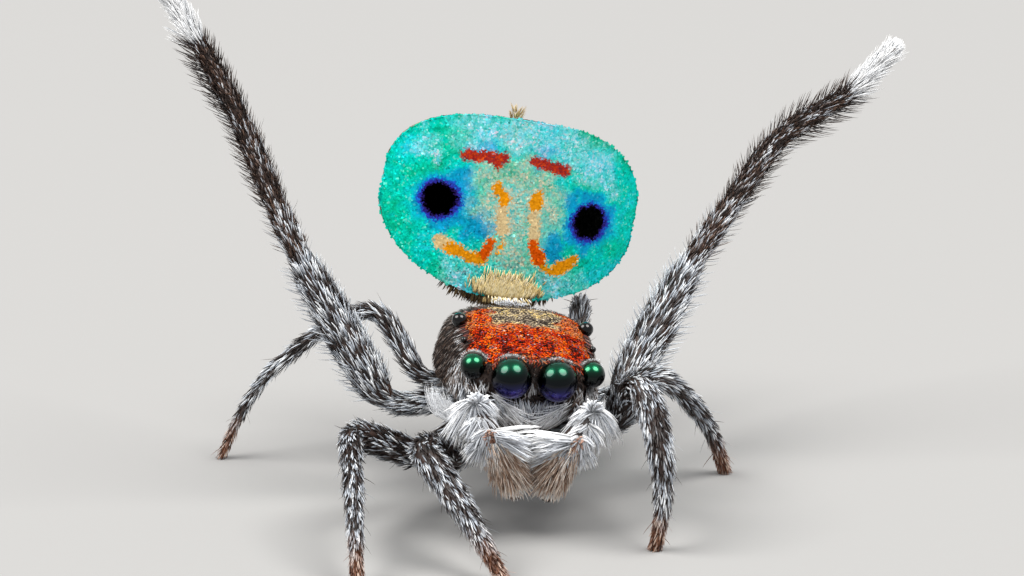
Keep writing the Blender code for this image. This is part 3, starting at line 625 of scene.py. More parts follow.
class Groups:
    """Effects that several finishes share."""

    def __init__(self) -> None:
        """Build each group once."""
        self.tuft = self._tuft()
        self.body = self._body()
        self.fan = self._fan()

    def _tuft(self) -> bpy.types.NodeTree:
        """Painted shade along a hair, dark at its root, with a random speckle that makes it a little lighter
        in places.
        """
        tree, graph, given, taken = new_group(
            "tuft_shading", {"Colour": "Color", "Along": "Float", "Depth": "Float"}, {"Colour": "Color"})
        root = graph.math("POWER", graph.math("SUBTRACT", 1.0, given["Along"]), 1.6)
        shade = graph.math("SUBTRACT", 1.0, graph.math("MULTIPLY", root, given["Depth"]))
        uneven = graph.math("ADD", 0.78, graph.math("MULTIPLY", graph.speckle(0.05), 0.44))
        level = graph.math("MULTIPLY", shade, uneven)
        grey = graph.node("CombineColor", {0: level, 1: level, 2: level}).outputs[0]
        graph.put(taken["Colour"], graph.mix(1.0, given["Colour"], grey, "MULTIPLY"))
        return tree

    def _body(self) -> bpy.types.NodeTree:
        """The body's markings: the red crown, the ash patch behind it and the tan feet."""
        tree, graph, given, taken = new_group(
            "body_markings", {"Base": "Color", "Marks": "Vector", "Tone": "Float"}, {"Colour": "Color"})
        parts = graph.node("SeparateXYZ", {0: given["Marks"]}).outputs
        red = graph.ramp(given["Tone"], (
            (0.00, "140a08"), (0.12, "3a1008"), (0.22, "8a1c04"), (0.45, "c02a02"),
            (0.66, "dc4c02"), (0.84, "ee860a"), (0.90, "4a4c66"), (0.96, "6d6a86"), (1.00, "e8c9b4")))
        ash = graph.ramp(given["Tone"], (
            (0.00, "2a231e"), (0.28, "695d50"), (0.50, "a3947f"), (0.72, "c4b08a"), (0.90, "dcc07c"),
            (1.00, "ece4d4")))
        tan = graph.ramp(given["Tone"], ((0.0, "5a2f1a"), (0.5, "a9683c"), (1.0, "d9a878")))
        colour = graph.mix(parts[2], given["Base"], tan)
        colour = graph.mix(parts[1], colour, ash)
        graph.put(taken["Colour"], graph.mix(parts[0], colour, red))
        return tree

    def _fan(self) -> bpy.types.NodeTree:
        """The fan's markings, from the two sets of masks that its meshes carry."""
        tree, graph, given, taken = new_group(
            "fan_markings", {"First": "Vector", "Second": "Vector", "Tone": "Float"},
            {"Colour": "Color", "Spot": "Float"})
        spot, red, orange = graph.node("SeparateXYZ", {0: given["First"]}).outputs[:3]
        blue, sand, lilac = graph.node("SeparateXYZ", {0: given["Second"]}).outputs[:3]
        broad = graph.mix(0.30, graph.speckle(0.42, 1.0), graph.speckle(0.06, 1.0))
        sea = graph.ramp(broad, ((0.34, "06c898"), (0.45, "04e0be"), (0.56, "06e8dc"), (0.68, "30e4fa")))
        grain = graph.ramp(given["Tone"], ((0.0, "84b8b2"), (0.3, "d0ece8"), (0.7, "ffffff")))
        sea = graph.mix(0.80, sea, grain, "MULTIPLY")
        bright = graph.math("MULTIPLY", graph.math("GREATER_THAN", given["Tone"], 0.88), 0.45)
        sea = graph.mix(bright, sea, paint("8ff2dc"))
        deep = graph.ramp(blue, (
            (0.0, "14e0e0"), (0.32, "10c4f0"), (0.50, "108ae4"), (0.78, "1a60d0"), (0.94, "3434b0"),
            (1.0, "2a1a58")))
        colour = graph.mix(graph.math("MINIMUM", graph.math("MULTIPLY", blue, 1.25), 1.0), sea, deep)
        sandy = graph.ramp(given["Tone"], (
            (0.0, "84d6ce"), (0.35, "a4dccc"), (0.65, "ccd6b8"), (1.0, "f4e4c0")))
        colour = graph.mix(sand, colour, sandy)
        pale = graph.ramp(given["Tone"], ((0.0, "50def0"), (0.5, "90eeff"), (1.0, "f0eeff")))
        colour = graph.mix(lilac, colour, pale)
        warm = graph.ramp(orange, (
            (0.0, "d8c49a"), (0.46, "ecd29c"), (0.60, "f8aa1c"), (0.74, "f49a0c"), (1.0, "ea5c08")))
        colour = graph.mix(graph.math("MINIMUM", graph.math("MULTIPLY", orange, 2.6), 1.0), colour, warm)
        crimson = graph.ramp(given["Tone"], ((0.0, "84343c"), (0.5, "bc2c20"), (1.0, "e0541c")))
        colour = graph.mix(red, colour, crimson)
        graph.put(taken["Colour"], graph.mix(spot, colour, paint("000000")))
        graph.put(taken["Spot"], spot)
        return tree


@dataclass(frozen=True)
class HairFinish:
    """Hair whose tone runs through named colours, from dark to pale."""

    name: str
    stops: tuple[tuple[float, str], ...]
    roughness: float = 0.5
    # depth: how strongly painted shade darkens each hair towards its root
    depth: float = 0.6
    gloss: float = 0.4

    def material(self, groups: Groups) -> bpy.types.Material:
        """The finish as a material."""
        material, graph, shader = new_material(self.name)
        tone = graph.attribute("tone").outputs["Fac"]
        marked = graph.node("Group", {
            "Base": graph.ramp(tone, self.stops), "Marks": graph.attribute("marks").outputs["Vector"],
            "Tone": tone}, node_tree=groups.body)
        shaded = graph.node("Group", {
            "Colour": marked.outputs[0], "Along": graph.attribute("along").outputs["Fac"],
            "Depth": self.depth}, node_tree=groups.tuft)
        graph.fill(shader, {"Base Color": shaded.outputs[0], "Roughness": self.roughness,
                            "Specular IOR Level": self.gloss})
        return material


@dataclass(frozen=True)
class SkinFinish:
    """Bare cuticle with fine pits, under the body's markings."""

    name: str
    dark: str = "150d0a"
    pale: str = "3a2419"
    roughness: float = 0.5
    grain: float = 0.16
    pits: float = 0.03
    pit_depth: float = 0.012

    def material(self, groups: Groups) -> bpy.types.Material:
        """The finish as a material."""
        material, graph, shader = new_material(self.name)
        marked = graph.node("Group", {
            "Base": graph.ramp(graph.speckle(self.grain), ((0.35, self.dark), (0.68, self.pale))),
            "Marks": graph.attribute("marks").outputs["Vector"],
            "Tone": graph.math("MULTIPLY", graph.speckle(self.pits), 0.42)}, node_tree=groups.body)
        bump = graph.node("Bump", {"Height": graph.speckle(self.pits, 4.0),
                                   "Distance": self.pit_depth * MM, "Strength": 0.7})
        graph.fill(shader, {"Base Color": marked.outputs[0], "Roughness": self.roughness,
                            "Normal": bump.outputs[0]})
        return material


@dataclass(frozen=True)
class FanFinish:
    """Iridescent scales of the fan, or the membrane under them."""

    name: str
    roughness: float = 0.48
    metallic: float = 0.60
    gloss: float = 0.05

    def material(self, groups: Groups) -> bpy.types.Material:
        """The finish as a material."""
        material, graph, shader = new_material(self.name)
        tone = graph.attribute("tone").outputs["Fac"]
        marked = graph.node("Group", {
            "First": graph.attribute("marks").outputs["Vector"],
            "Second": graph.attribute("marks_more").outputs["Vector"], "Tone": tone}, node_tree=groups.fan)
        brown = graph.ramp(tone, ((0.0, "24160e"), (0.4, "4a3224")))
        colour = graph.mix(graph.attribute("behind").outputs["Fac"], marked.outputs["Colour"], brown)
        rest = graph.math("MULTIPLY", marked.outputs["Spot"], 1 - self.metallic)
        graph.fill(shader, {
            "Base Color": colour, "Metallic": graph.math("ADD", rest, self.metallic),
            "Roughness": self.roughness, "Specular IOR Level": self.gloss})
        return material


@dataclass(frozen=True)
class EyeFinish:
    """A wet lens, coloured by height on the eye: a green and violet tint of its own, with the green put at
    the top where the lights above reflect, as painted reflection.
    """

    name: str
    stops: tuple[tuple[float, str], ...]
    wet: float = 0.55

    def material(self) -> bpy.types.Material:
        """The finish as a material."""
        material, graph, shader = new_material(self.name)
        rise = graph.attribute("rise").outputs["Fac"]
        uneven = graph.math("ADD", rise, graph.math("MULTIPLY", graph.speckle(0.15), 0.06))
        graph.fill(shader, {
            "Base Color": graph.ramp(uneven, self.stops), "Metallic": 1.0, "Roughness": 0.25,
            "Coat Weight": self.wet, "Coat Roughness": 0.04, "Coat IOR": 1.42})
        return material


# Markings


class Markings:
    """Where each marking lies, as masks from 0 to 1 for the skin and for the coat."""

    CROWN_FRONT = 0.08
    CROWN_BACK = 1.15
    CROWN_LOW = 0.10
    ASH_START = 0.74
    ASH_HALF_WIDTH = 0.38
    TAN_HEIGHT = 0.46
    SPOTS = ((-0.825, 0.00, 0.180), (0.885, -0.005, 0.182))
    HALO = 0.16
    LOWERED = 0.028
    # start and end of each stroke, its half width there, and for the orange its strength
    RED = (
        ((-0.63, 0.54), (-0.48, 0.55), 0.072, 0.060), ((-0.48, 0.56), (-0.24, 0.58), 0.052, 0.070),
        ((-0.30, 0.55), (-0.28, 0.48), 0.050, 0.036),
        ((0.11, 0.61), (0.28, 0.57), 0.050, 0.066), ((0.28, 0.57), (0.48, 0.54), 0.058, 0.062),
    )
    ORANGE = (
        ((-0.24, 0.26), (-0.14, 0.13), 0.062, 0.080, 0.72),
        ((-0.14, 0.05), (-0.10, -0.20), 0.055, 0.084, 0.45),
        ((0.24, 0.27), (0.21, 0.12), 0.045, 0.078, 0.70),
        ((0.22, 0.05), (0.27, -0.22), 0.060, 0.062, 0.45),
        ((-0.74, -0.46), (-0.66, -0.50), 0.080, 0.072, 0.48),
        ((-0.62, -0.50), (-0.48, -0.54), 0.070, 0.070, 0.72),
        ((-0.48, -0.55), (-0.26, -0.58), 0.050, 0.062, 0.70),
        ((-0.24, -0.52), (-0.19, -0.36), 0.058, 0.050, 1.00),
        ((-0.07, -0.34), (-0.10, -0.47), 0.026, 0.020, 0.65),
        ((0.28, -0.31), (0.38, -0.48), 0.058, 0.084, 1.00),
        ((0.38, -0.50), (0.50, -0.60), 0.064, 0.040, 0.66),
        ((0.52, -0.60), (0.64, -0.56), 0.044, 0.072, 0.70),
        ((0.64, -0.56), (0.78, -0.46), 0.080, 0.062, 0.72),
    )
    # place and radius of each soft patch
    BLUE = ((-0.41, -0.22, 0.20), (0.49, -0.33, 0.17), (-0.47, 0.62, 0.15), (0.20, 0.72, 0.16),
            (-0.62, 0.30, 0.16), (0.60, 0.25, 0.14), (-0.80, -0.02, 0.34), (0.88, -0.02, 0.33))
    SAND = ((0.03, 0.12, 0.46), (-0.30, 0.02, 0.17), (0.34, 0.02, 0.20), (-0.17, 0.82, 0.10),
            (0.10, -0.50, 0.24), (-0.36, 0.36, 0.14))
    LILAC = ((-1.10, 0.58, 0.13), (-0.96, 0.46, 0.07), (0.80, 0.66, 0.13), (0.96, 0.54, 0.12),
             (1.05, 0.42, 0.09), (-0.50, 0.86, 0.16), (-0.72, 0.82, 0.08), (0.03, 0.97, 0.15),
             (0.26, 0.84, 0.12), (0.44, 0.80, 0.09), (-0.42, -0.78, 0.12), (0.66, -0.76, 0.12))
    PALE = ((-0.55, 0.84, 0.24), (-0.15, 0.88, 0.20), (0.20, 0.84, 0.24), (0.55, 0.76, 0.22),
            (0.85, 0.62, 0.20), (-0.48, -0.78, 0.18), (0.50, -0.78, 0.18), (0.74, -0.74, 0.16),
            (0.40, 0.92, 0.20))

    @staticmethod
    def body(points: np.ndarray) -> np.ndarray:
        """Crown, ash patch and tan feet at places on the body.

        Args:
            points: places in the model's axes.

        Returns:
            Three masks for each place.
        """
        here = HEAD.into(points)
        x, y, z = here.T
        wobble = (mottle(here, 0.12, 1.0) - 0.5) * 0.26
        m = Markings
        low = m.CROWN_LOW - 0.13 * step(np.abs(x), 0.48, 0.60) * (1 - step(y, 0.42, 0.56))
        over = step((z + wobble * 0.3 - low) / 0.07, 0, 1)
        crown = over * step(y + wobble, m.CROWN_FRONT, m.CROWN_FRONT + 0.06)
        crown *= 1 - step(y + wobble, m.CROWN_BACK, m.CROWN_BACK + 0.2)
        crown *= 1 - step(np.abs(x) + wobble * 0.4, 0.80, 0.88)
        inside = 1 - step(np.abs(x) + wobble, m.ASH_HALF_WIDTH - 0.05, m.ASH_HALF_WIDTH + 0.05)
        ash = over * inside * step(y + wobble, m.ASH_START - 0.04, m.ASH_START + 0.08)
        ash *= 1 - step(y + wobble, 1.45, 1.7)
        top = step(z, 0.0, 0.05) * step(y, 0.0, 0.02) * (1 - step(y, 2.0, 2.1))
        tan = 0.66 * (1 - step(points[:, 2] + wobble, m.TAN_HEIGHT - 0.25, m.TAN_HEIGHT + 0.15))
        near = (np.abs(x) < 1.0) & (y > -0.75) & (y < 2.2)
        return stacked(crown * (1 - ash) * top * near, ash * top * near, tan * ~near)

    @staticmethod
    def stroke(flat: np.ndarray, start: tuple, end: tuple, first: float, last: float,
               soft: float) -> np.ndarray:
        """Mask of a tapered stroke between two places."""
        a, b = np.array(start), np.array(end)
        share = np.clip((flat - a) @ (b - a) / ((b - a) @ (b - a)), 0, 1)
        off = np.linalg.norm(flat - a - share[:, None] * (b - a), axis=1) - (first + (last - first) * share)
        return 1 - step(off, -soft, soft)

    @staticmethod
    def fan(points: np.ndarray) -> tuple[np.ndarray, np.ndarray]:
        """The fan's markings at places on it.

        Args:
            points: places in the model's axes.

        Returns:
            Masks for spots, red and orange, then masks for blue, sand and lilac.
        """
        here = FAN.into(points)
        flat = here[:, [0, 2]] + (0.0, Markings.LOWERED)
        ragged, cloudy = (
            flat + reach * stacked(mottle(here, size, seed), mottle(here, size, seed + 1)) - reach / 2
            for reach, size, seed in ((0.05, 0.07, 2.0), (0.30, 0.16, 4.0)))
        m = Markings
        spot = np.zeros(len(flat))
        halo = np.zeros(len(flat))
        for x, z, radius in m.SPOTS:
            off = np.linalg.norm(ragged - (x, z), axis=1) - radius
            spot = np.maximum(spot, 1 - step(off, -0.012, 0.012))
            halo = np.maximum(halo, 1 - step(off, 0.0, m.HALO))
        red = np.max([m.stroke(ragged, a, b, r, s, 0.016) for a, b, r, s in m.RED], axis=0)
        orange = np.max([m.stroke(ragged, a, b, r, s, 0.014) * v for a, b, r, s, v in m.ORANGE], axis=0)

        def clouds(places: tuple, ground: np.ndarray, soft: float) -> np.ndarray:
            """Soft patches round several places."""
            off = [np.linalg.norm(ground - (x, z), axis=1) - r for x, z, r in places]
            return np.max([1 - step(o, -soft, soft) for o in off], axis=0)

        blue = np.maximum(halo, 0.52 * clouds(m.BLUE, cloudy, 0.09))
        grain = step(mottle(here, 0.05, 6.0), 0.30, 0.62)
        sand = clouds(m.SAND, cloudy, 0.14) * (0.35 + 0.65 * grain) * (1 - halo)
        lilac = clouds(m.LILAC, cloudy, 0.07) * (0.30 + 0.70 * grain)
        lilac = np.maximum(lilac, 0.74 * clouds(m.PALE, cloudy, 0.12) * (0.5 + 0.5 * grain) * (1 - halo))
        back = step(here[:, 1] - 0.19 * here[:, 0] ** 2, 0.05, 0.07)
        front = (1 - back)[:, None]
        return stacked(spot, red, orange) * front, stacked(blue, sand, lilac) * front


# The head


@dataclass
class Head:
    """The head and thorax, with the sternum, the sockets' rims and the pedicel."""

    # distance back, half width at the lower edge, top and bottom
    sections: tuple = (
        (0.03, 0.56, 0.20, -0.36), (0.10, 0.68, 0.25, -0.42), (0.32, 0.80, 0.28, -0.45),
        (0.70, 0.88, 0.29, -0.60), (1.12, 0.91, 0.28, -0.68), (1.52, 0.87, 0.10, -0.70),
        (1.86, 0.70, -0.18, -0.68), (2.08, 0.44, -0.40, -0.64),
    )
    squareness: float = 3.0
    squareness_below: float = 6.0
    lean_in: float = 0.17
    skin_depth: float = 0.030
    sides: int = 56
    slices: int = 30
    sternum: tuple = ((0.0, 1.12, -0.84), (0.30, 0.80, 0.21))
    chelicera: tuple = ((0.19, 0.18, -0.50), (0.19, 0.08, -0.84))
    rim_radius: float = 0.040
    stalk: tuple = ((0.0, 1.98, -0.52), (0.0, 2.34, -0.52))
    stalk_end: tuple = (0.0, 0.20, -0.94)
    stalk_radius: float = 0.075

    def section(self, y: np.ndarray) -> np.ndarray:
        """Half width, top and bottom at distances back."""
        table = np.array(self.sections)
        return stacked(*(np.interp(y, table[:, 0], table[:, k]) for k in (1, 2, 3)))

    def shell(self) -> bpy.types.Object:
        """The carapace as a closed mesh, placed on the model."""
        first, last = self.sections[0][0] + self.skin_depth / 2, self.sections[-1][0] - self.skin_depth
        clear_selection()
        bpy.ops.mesh.primitive_cylinder_add(
            vertices=self.sides, radius=1.0, depth=last - first, end_fill_type="TRIFAN",
            location=(0.0, (first + last) / 2, 0.0), rotation=(math.radians(90), 0.0, 0.0))
        obj = bpy.context.object
        bpy.ops.object.transform_apply(location=True, rotation=True, scale=True)
        bpy.ops.object.mode_set(mode="EDIT")
        for k in range(1, self.slices):
            share = k / self.slices
            bpy.ops.mesh.select_all(action="SELECT")
            bpy.ops.mesh.bisect(plane_co=(0.0, first + (last - first) * share ** 1.3, 0.0),
                                plane_no=(0.0, 1.0, 0.0))
        bpy.ops.object.mode_set(mode="OBJECT")
        points = coordinates(obj.data)
        width, top, bottom = self.section(points[:, 1]).T
        middle, rise = (top + bottom) / 2, (top - bottom) / 2 - self.skin_depth
        spread = np.hypot(points[:, 0], points[:, 2])
        c, s = points[:, 0] / np.maximum(spread, 1e-9), points[:, 2] / np.maximum(spread, 1e-9)
        power = np.where(points[:, 2] < 0, 2 / self.squareness_below, 2 / self.squareness)
        x = (width - self.skin_depth) * np.sign(c) * np.abs(c) ** power * spread
        z = middle + rise * np.sign(s) * np.abs(s) ** power * spread
        x *= 1 - self.lean_in * (z - bottom) / (top - bottom)
        set_coordinates(obj.data, HEAD.out(stacked(x, points[:, 1], z)))
        return obj

    def rims(self, eyes: "Eyes") -> list[bpy.types.Object]:
        """A raised rim round each of the four eyes of the front row."""
        made = []
        for name in ("eye_front", "eye_side"):
            for side in (-1, 1):
                centre, radius, axis = eyes.eye(name, side)
                turned = Vector(axis).to_track_quat("Z", "Y")
                clear_selection()
                bpy.ops.mesh.primitive_torus_add(
                    major_segments=40, minor_segments=12, major_radius=radius * 0.92,
                    minor_radius=self.rim_radius, rotation=turned.to_euler(),
                    location=Vector(centre) - Vector(axis) * radius * 0.45)
                bpy.ops.object.transform_apply(location=True, rotation=True, scale=True)
                made.append(bpy.context.object)
        return made

    def underside(self) -> list[bpy.types.Object]:
        """The sternum, the chelicerae and the pedicel."""
        place, scale = self.sternum
        clear_selection()
        bpy.ops.mesh.primitive_uv_sphere_add(segments=32, ring_count=20, radius=1.0)
        sternum = bpy.context.object
        points = coordinates(sternum.data) * np.array(scale) + place
        set_coordinates(sternum.data, HEAD.out(points))
        made = [sternum]
        for side in (-1, 1):
            ends = [Vector(HEAD.out((p[0] * side, p[1], p[2]))) for p in self.chelicera]
            fang = Limb("chelicera", [ends[0], ends[0].lerp(ends[1], 0.5), ends[1]], 0.1, 0)
            fang.swell(lambda d: 0.13 - 0.05 * d)
            made.append(fang.tube())
        joints = [*(Vector(HEAD.out(p)) for p in self.stalk), Vector(FAN.out(self.stalk_end))]
        stalk = Limb("pedicel", joints, 0.12, 0)
        stalk.swell(lambda d: self.stalk_radius)
        made.append(stalk.tube())
        return made


@dataclass
class Eyes:
    """The eight eyes: place, radius and the way each looks, in the head's axes on its left side."""

    shapes: dict = field(default_factory=lambda: {
        "eye_front": ((0.252, 0.00, 0.00), 0.222, (0.10, -1.0, 0.02)),
        "eye_side": ((0.655, 0.16, 0.03), 0.142, (0.42, -0.9, 0.06)),
        "eye_small": ((0.715, 0.58, 0.12), 0.035, (0.9, -0.2, 0.3)),
        "eye_rear": ((0.700, 1.02, 0.13), 0.085, (0.9, 0.1, 0.4)),
    })

    def eye(self, name: str, side: int) -> tuple[np.ndarray, float, np.ndarray]:
        """Centre, radius and axis of one eye, in the model's axes."""
        place, radius, axis = self.shapes[name]
        centre = HEAD.out((place[0] * side, place[1], place[2]))
        return centre, radius, unit(HEAD.aim((axis[0] * side, axis[1], axis[2])))

    def all(self) -> list[tuple[str, int, np.ndarray, float, np.ndarray]]:
        """Every eye with its name, side, centre, radius and axis."""
        return [(name, side, *self.eye(name, side)) for name in self.shapes for side in (-1, 1)]

    def build(self) -> None:
        """Make the lenses."""
        # These ramps run by height on each lens; the green tops are painted reflection of the soft boxes
        # above
        bright = EyeFinish("front_lens", (
            (0.00, "44329c"), (0.26, "2c2280"), (0.44, "101240"), (0.58, "020710"), (0.72, "010d0c"),
            (0.85, "02281d"), (0.97, "075238")))
        plain = EyeFinish("side_lens", (
            (0.00, "0e1020"), (0.40, "030708"), (0.60, "010f0b"), (0.76, "03301f"), (1.00, "0a6c45")))
        black = EyeFinish("rear_lens", ((0.00, "020202"), (0.60, "060505"), (1.00, "181210")), 1.0)
        finishes = {"eye_front": bright.material(), "eye_side": plain.material(),
                    "eye_small": black.material(), "eye_rear": black.material()}
        for name, side, centre, radius, axis in self.all():
            clear_selection()
            bpy.ops.mesh.primitive_uv_sphere_add(segments=64, ring_count=40, radius=radius)
            obj = bpy.context.object
            word = "right" if side < 0 else "left"
            obj.name = f"{name}_lens_{word}"
            points = coordinates(obj.data)
            ahead = points @ axis
            points += np.outer(np.maximum(ahead / radius, 0.0) ** 4 * radius * 0.04, axis)
            set_attribute(obj.data, "rise", 0.5 + 0.5 * points[:, 2] / radius)
            set_coordinates(obj.data, points + centre)
            finish_piece(obj, finishes[name], (f"{name}_{word}",))


# Limbs


@dataclass(frozen=True)
class Girth:
    """Radii of a leg with its coat, from the coxa to the foot."""

    coxa: float
    thigh: float
    femur: float
    knee: float
    tibia: float
    metatarsus: float
    tarsus: float


GIRTHS = {
    1: Girth(0.16, 0.20, 0.22, 0.20, 0.20, 0.15, 0.115),
    2: Girth(0.17, 0.18, 0.21, 0.17, 0.15, 0.13, 0.110),
    3: Girth(0.17, 0.16, 0.27, 0.18, 0.17, 0.16, 0.130),
    4: Girth(0.16, 0.15, 0.15, 0.14, 0.12, 0.09, 0.070),
}
LEG_ROOTS = {1: (0.35, 0.52, -0.92), 2: (0.42, 0.86, -0.94), 3: (0.42, 1.28, -0.94), 4: (0.35, 1.68, -0.92)}


@dataclass(frozen=True)
class Leg:
    """One leg: its thigh root and knee, and how the rest of it is held.

    A standing leg has a foot on the floor and a bowed shank.  A raised one has the
    length, rise and heading of each segment.
    """

    side: int
    pair: int
    thigh: tuple
    knee: tuple
    foot: tuple = ()
    bow: float = 0.0
    splay: float = 0.0
    segments: tuple = ()
    shares: tuple = (0.26, 0.58, 0.81)

    def points(self) -> list[Vector]:
        """The joints, from inside the body to the tip."""
        x, y, z = LEG_ROOTS[self.pair]
        root = Vector(HEAD.out((x * self.side, y, z)))
        thigh, knee = Vector(self.thigh) + SHIFT, Vector(self.knee) + SHIFT
        points = [root, thigh, knee]
        for length, rise, heading in self.segments:
            rise, heading = math.radians(rise), math.radians(heading)
            level = length * math.cos(rise)
            move = Vector((level * math.sin(heading), -level * math.cos(heading), length * math.sin(rise)))
            points.append(points[-1] + move)
        if self.foot:
            foot = Vector((*self.foot, 0.0)) + SHIFT
            foot.z = 0.0
            chord = foot - knee
            level = Vector((chord.x, chord.y, 0.0)).normalized()
            outward = (level - chord * (level.dot(chord) / chord.length_squared)).normalized()
            bow = outward * self.bow + Vector((self.side * self.splay, 0.0, 0.0))
            points += [knee + chord * share + bow * (4 * share * (1 - share)) for share in self.shares]
            points.append(foot + Vector((0.0, 0.0, 0.02)))
        return points

    def limb(self, name: str, strip: int) -> Limb:
        """The leg as a tube of skin, inside the tips of its coat."""
        limb = Limb(name, self.points(), 0.30, strip)
        girth = GIRTHS[self.pair]
        stops = limb.joints
        controls = (girth.coxa, girth.thigh, girth.knee, girth.tibia * 1.02,
                    girth.metatarsus * 1.04, girth.tarsus * 1.08, girth.tarsus * 0.8)

        def radius(place: float) -> float:
            """The skin's radius at a distance along the leg."""
            value = float(np.interp(place, stops, controls))
            if stops[1] < place < stops[2]:
                share = (place - stops[1]) / (stops[2] - stops[1])
                share = share ** 0.68 if self.pair == 3 else share
                value += 4 * share * (1 - share) * (girth.femur - (girth.thigh + girth.knee) / 2)
            nearest = min(abs(place - stop) for stop in stops[1:-1])
            value *= 1 - 0.10 * math.exp(-((nearest / 0.10) ** 2))
            return value - min(COAT_DEPTH, 0.42 * value)

        limb.swell(radius)
        return limb


LEGS = {
    "leg_1_right": Leg(-1, 1, (-0.80, 0.36, 0.68), (-1.30, -0.34, 1.14), (-0.58, -1.70), 0.08),
    "leg_1_left": Leg(1, 1, (0.96, 0.54, 0.88), (1.12, -0.06, 1.68), (1.17, -0.87), 0.40, 0.09),
    "leg_2_right": Leg(-1, 2, (-1.08, 0.80, 0.56), (-1.98, 0.24, 1.15), (-2.16, -1.51), 0.30),
    "leg_2_left": Leg(1, 2, (0.92, 1.08, 0.78), (1.38, 0.72, 1.45), (2.34, 1.22), 0.20),
    "leg_3_right": Leg(-1, 3, (-1.42, 1.30, 0.99), (-2.27, 1.75, 2.56), segments=(
        (0.65, 61, -130), (1.08, 67, -118), (1.00, 61, -114), (0.82, 59, -111))),
    "leg_3_left": Leg(1, 3, (1.16, 1.42, 0.84), (2.12, 2.20, 2.12), segments=(
        (0.79, 50, 107), (0.92, 54, 101), (0.98, 29, 90), (0.69, 48, 84))),
    "leg_4_right": Leg(-1, 4, (-0.92, 1.90, 1.00), (-1.34, 2.38, 1.79), (-3.08, 2.58), 0.34),
    "leg_4_left": Leg(1, 4, (0.72, 1.98, 0.96), (0.98, 2.62, 1.56), (1.20, 4.30), 0.34),
}


@dataclass
class Palp:
    """One palp, as a bent tube that ends in a thick shaggy tip."""

    side: int
    points: tuple = (
        (0.33, 0.12, -1.02), (0.54, 0.12, -0.76), (0.60, 0.04, -0.53), (0.63, -0.17, -0.28),
        (0.46, -0.33, -0.50), (0.262, -0.34, -0.90), (0.185, -0.34, -1.20),
    )
    radii: tuple = (0.07, 0.08, 0.08, 0.10, 0.13, 0.165, 0.12)
    swing: float = 0.11

    def limb(self) -> Limb:
        """The palp as a tube of skin."""
        placed = [Vector(HEAD.out((x * self.side, y, z))) for x, y, z in self.points]
        placed[-2].x += self.swing / 2
        placed[-1].x += self.swing
        limb = Limb("palp", placed, 0.16, 8 if self.side < 0 else 9)
        limb.swell(lambda d: float(np.interp(d, limb.joints, self.radii)))
        return limb


# The fan


@dataclass
class Fan:
    """The raised abdomen with its flaps, as one skin."""

    half_width: float = 1.46
    half_height: float = 1.02
    top_squareness: float = 2.8
    bottom_squareness: float = 2.1
    sweep_back: float = 0.19
    droop: float = 0.09
    body_half_width: float = 0.62
    body_half_length: float = 1.0
    body_depth: float = 0.80
    flap_thickness: float = 0.085
    edge_thickness: float = 0.045
    inset: float = 0.016
    columns: int = 120
    rows: int = 84

    def reach(self, x: np.ndarray, upward: bool) -> np.ndarray:
        """Height of the outline above or below the centre, at distances across."""
        power = self.top_squareness if upward else self.bottom_squareness
        share = np.minimum(np.abs(x) / self.half_width, 1.0) ** power
        return self.half_height * (1 - share) ** (1 / power)

    def surface(self, x: np.ndarray, z: np.ndarray, depth: float | np.ndarray) -> np.ndarray:
        """Places in the fan's axes for distances across, heights and depths behind its front."""
        level = z - self.droop * np.maximum(x - self.body_half_width, 0.0)
        return stacked(x, self.sweep_back * x * x + depth, level)

    def flap(self, x: np.ndarray) -> np.ndarray:
        """Thickness of the flaps at distances across."""
        taper = self.edge_thickness - self.flap_thickness
        return self.flap_thickness + taper * np.abs(x) / self.half_width

    def thickness(self, x: np.ndarray, z: np.ndarray) -> np.ndarray:
        """Thickness behind places on the front."""
        body = 1 - (x / self.body_half_width) ** 2 - (z / self.body_half_length) ** 2
        return self.flap(x) + (self.body_depth - 0.04) * np.sqrt(np.maximum(body, 0.0))

    def behind(self, local: np.ndarray) -> np.ndarray:
        """How far behind the flaps' middle places are, from 0 in front to 1 at the back."""
        x = local[:, 0]
        depth = local[:, 1] - self.sweep_back * x * x
        return step(depth / self.flap(x), 0.40, 0.60)

    def skin(self) -> bpy.types.Object:
        """The closed skin, placed on the model."""
        clear_selection()
        bpy.ops.mesh.primitive_grid_add(x_subdivisions=self.columns, y_subdivisions=self.rows, size=2.0)
        obj = bpy.context.object
        obj.name = "fan_skin"
        edit_all()
        bpy.ops.mesh.extrude_region_move(TRANSFORM_OT_translate={"value": (0.0, 0.0, 1.0)})
        bpy.ops.object.mode_set(mode="OBJECT")
        points = coordinates(obj.data)
        behind = points[:, 2] > 0.5
        wide = self.half_width - self.inset
        x = wide * 0.997 * np.sin(np.clip(points[:, 0], -1, 1) * math.pi / 2)
        swing = 0.5 + 0.5 * np.sin(np.clip(points[:, 1], -1, 1) * math.pi / 2)
        top, bottom = self.reach(x, True) - self.inset, -self.reach(x, False) + self.inset
        z = bottom + (top - bottom) * swing
        depth = np.where(behind, self.thickness(x, z) - self.inset / 2, self.inset / 2)
        set_coordinates(obj.data, FAN.out(self.surface(x, z, depth)))
        edit_all()
        bpy.ops.mesh.normals_make_consistent(inside=False)
        bpy.ops.object.mode_set(mode="OBJECT")
        return obj


# The coat


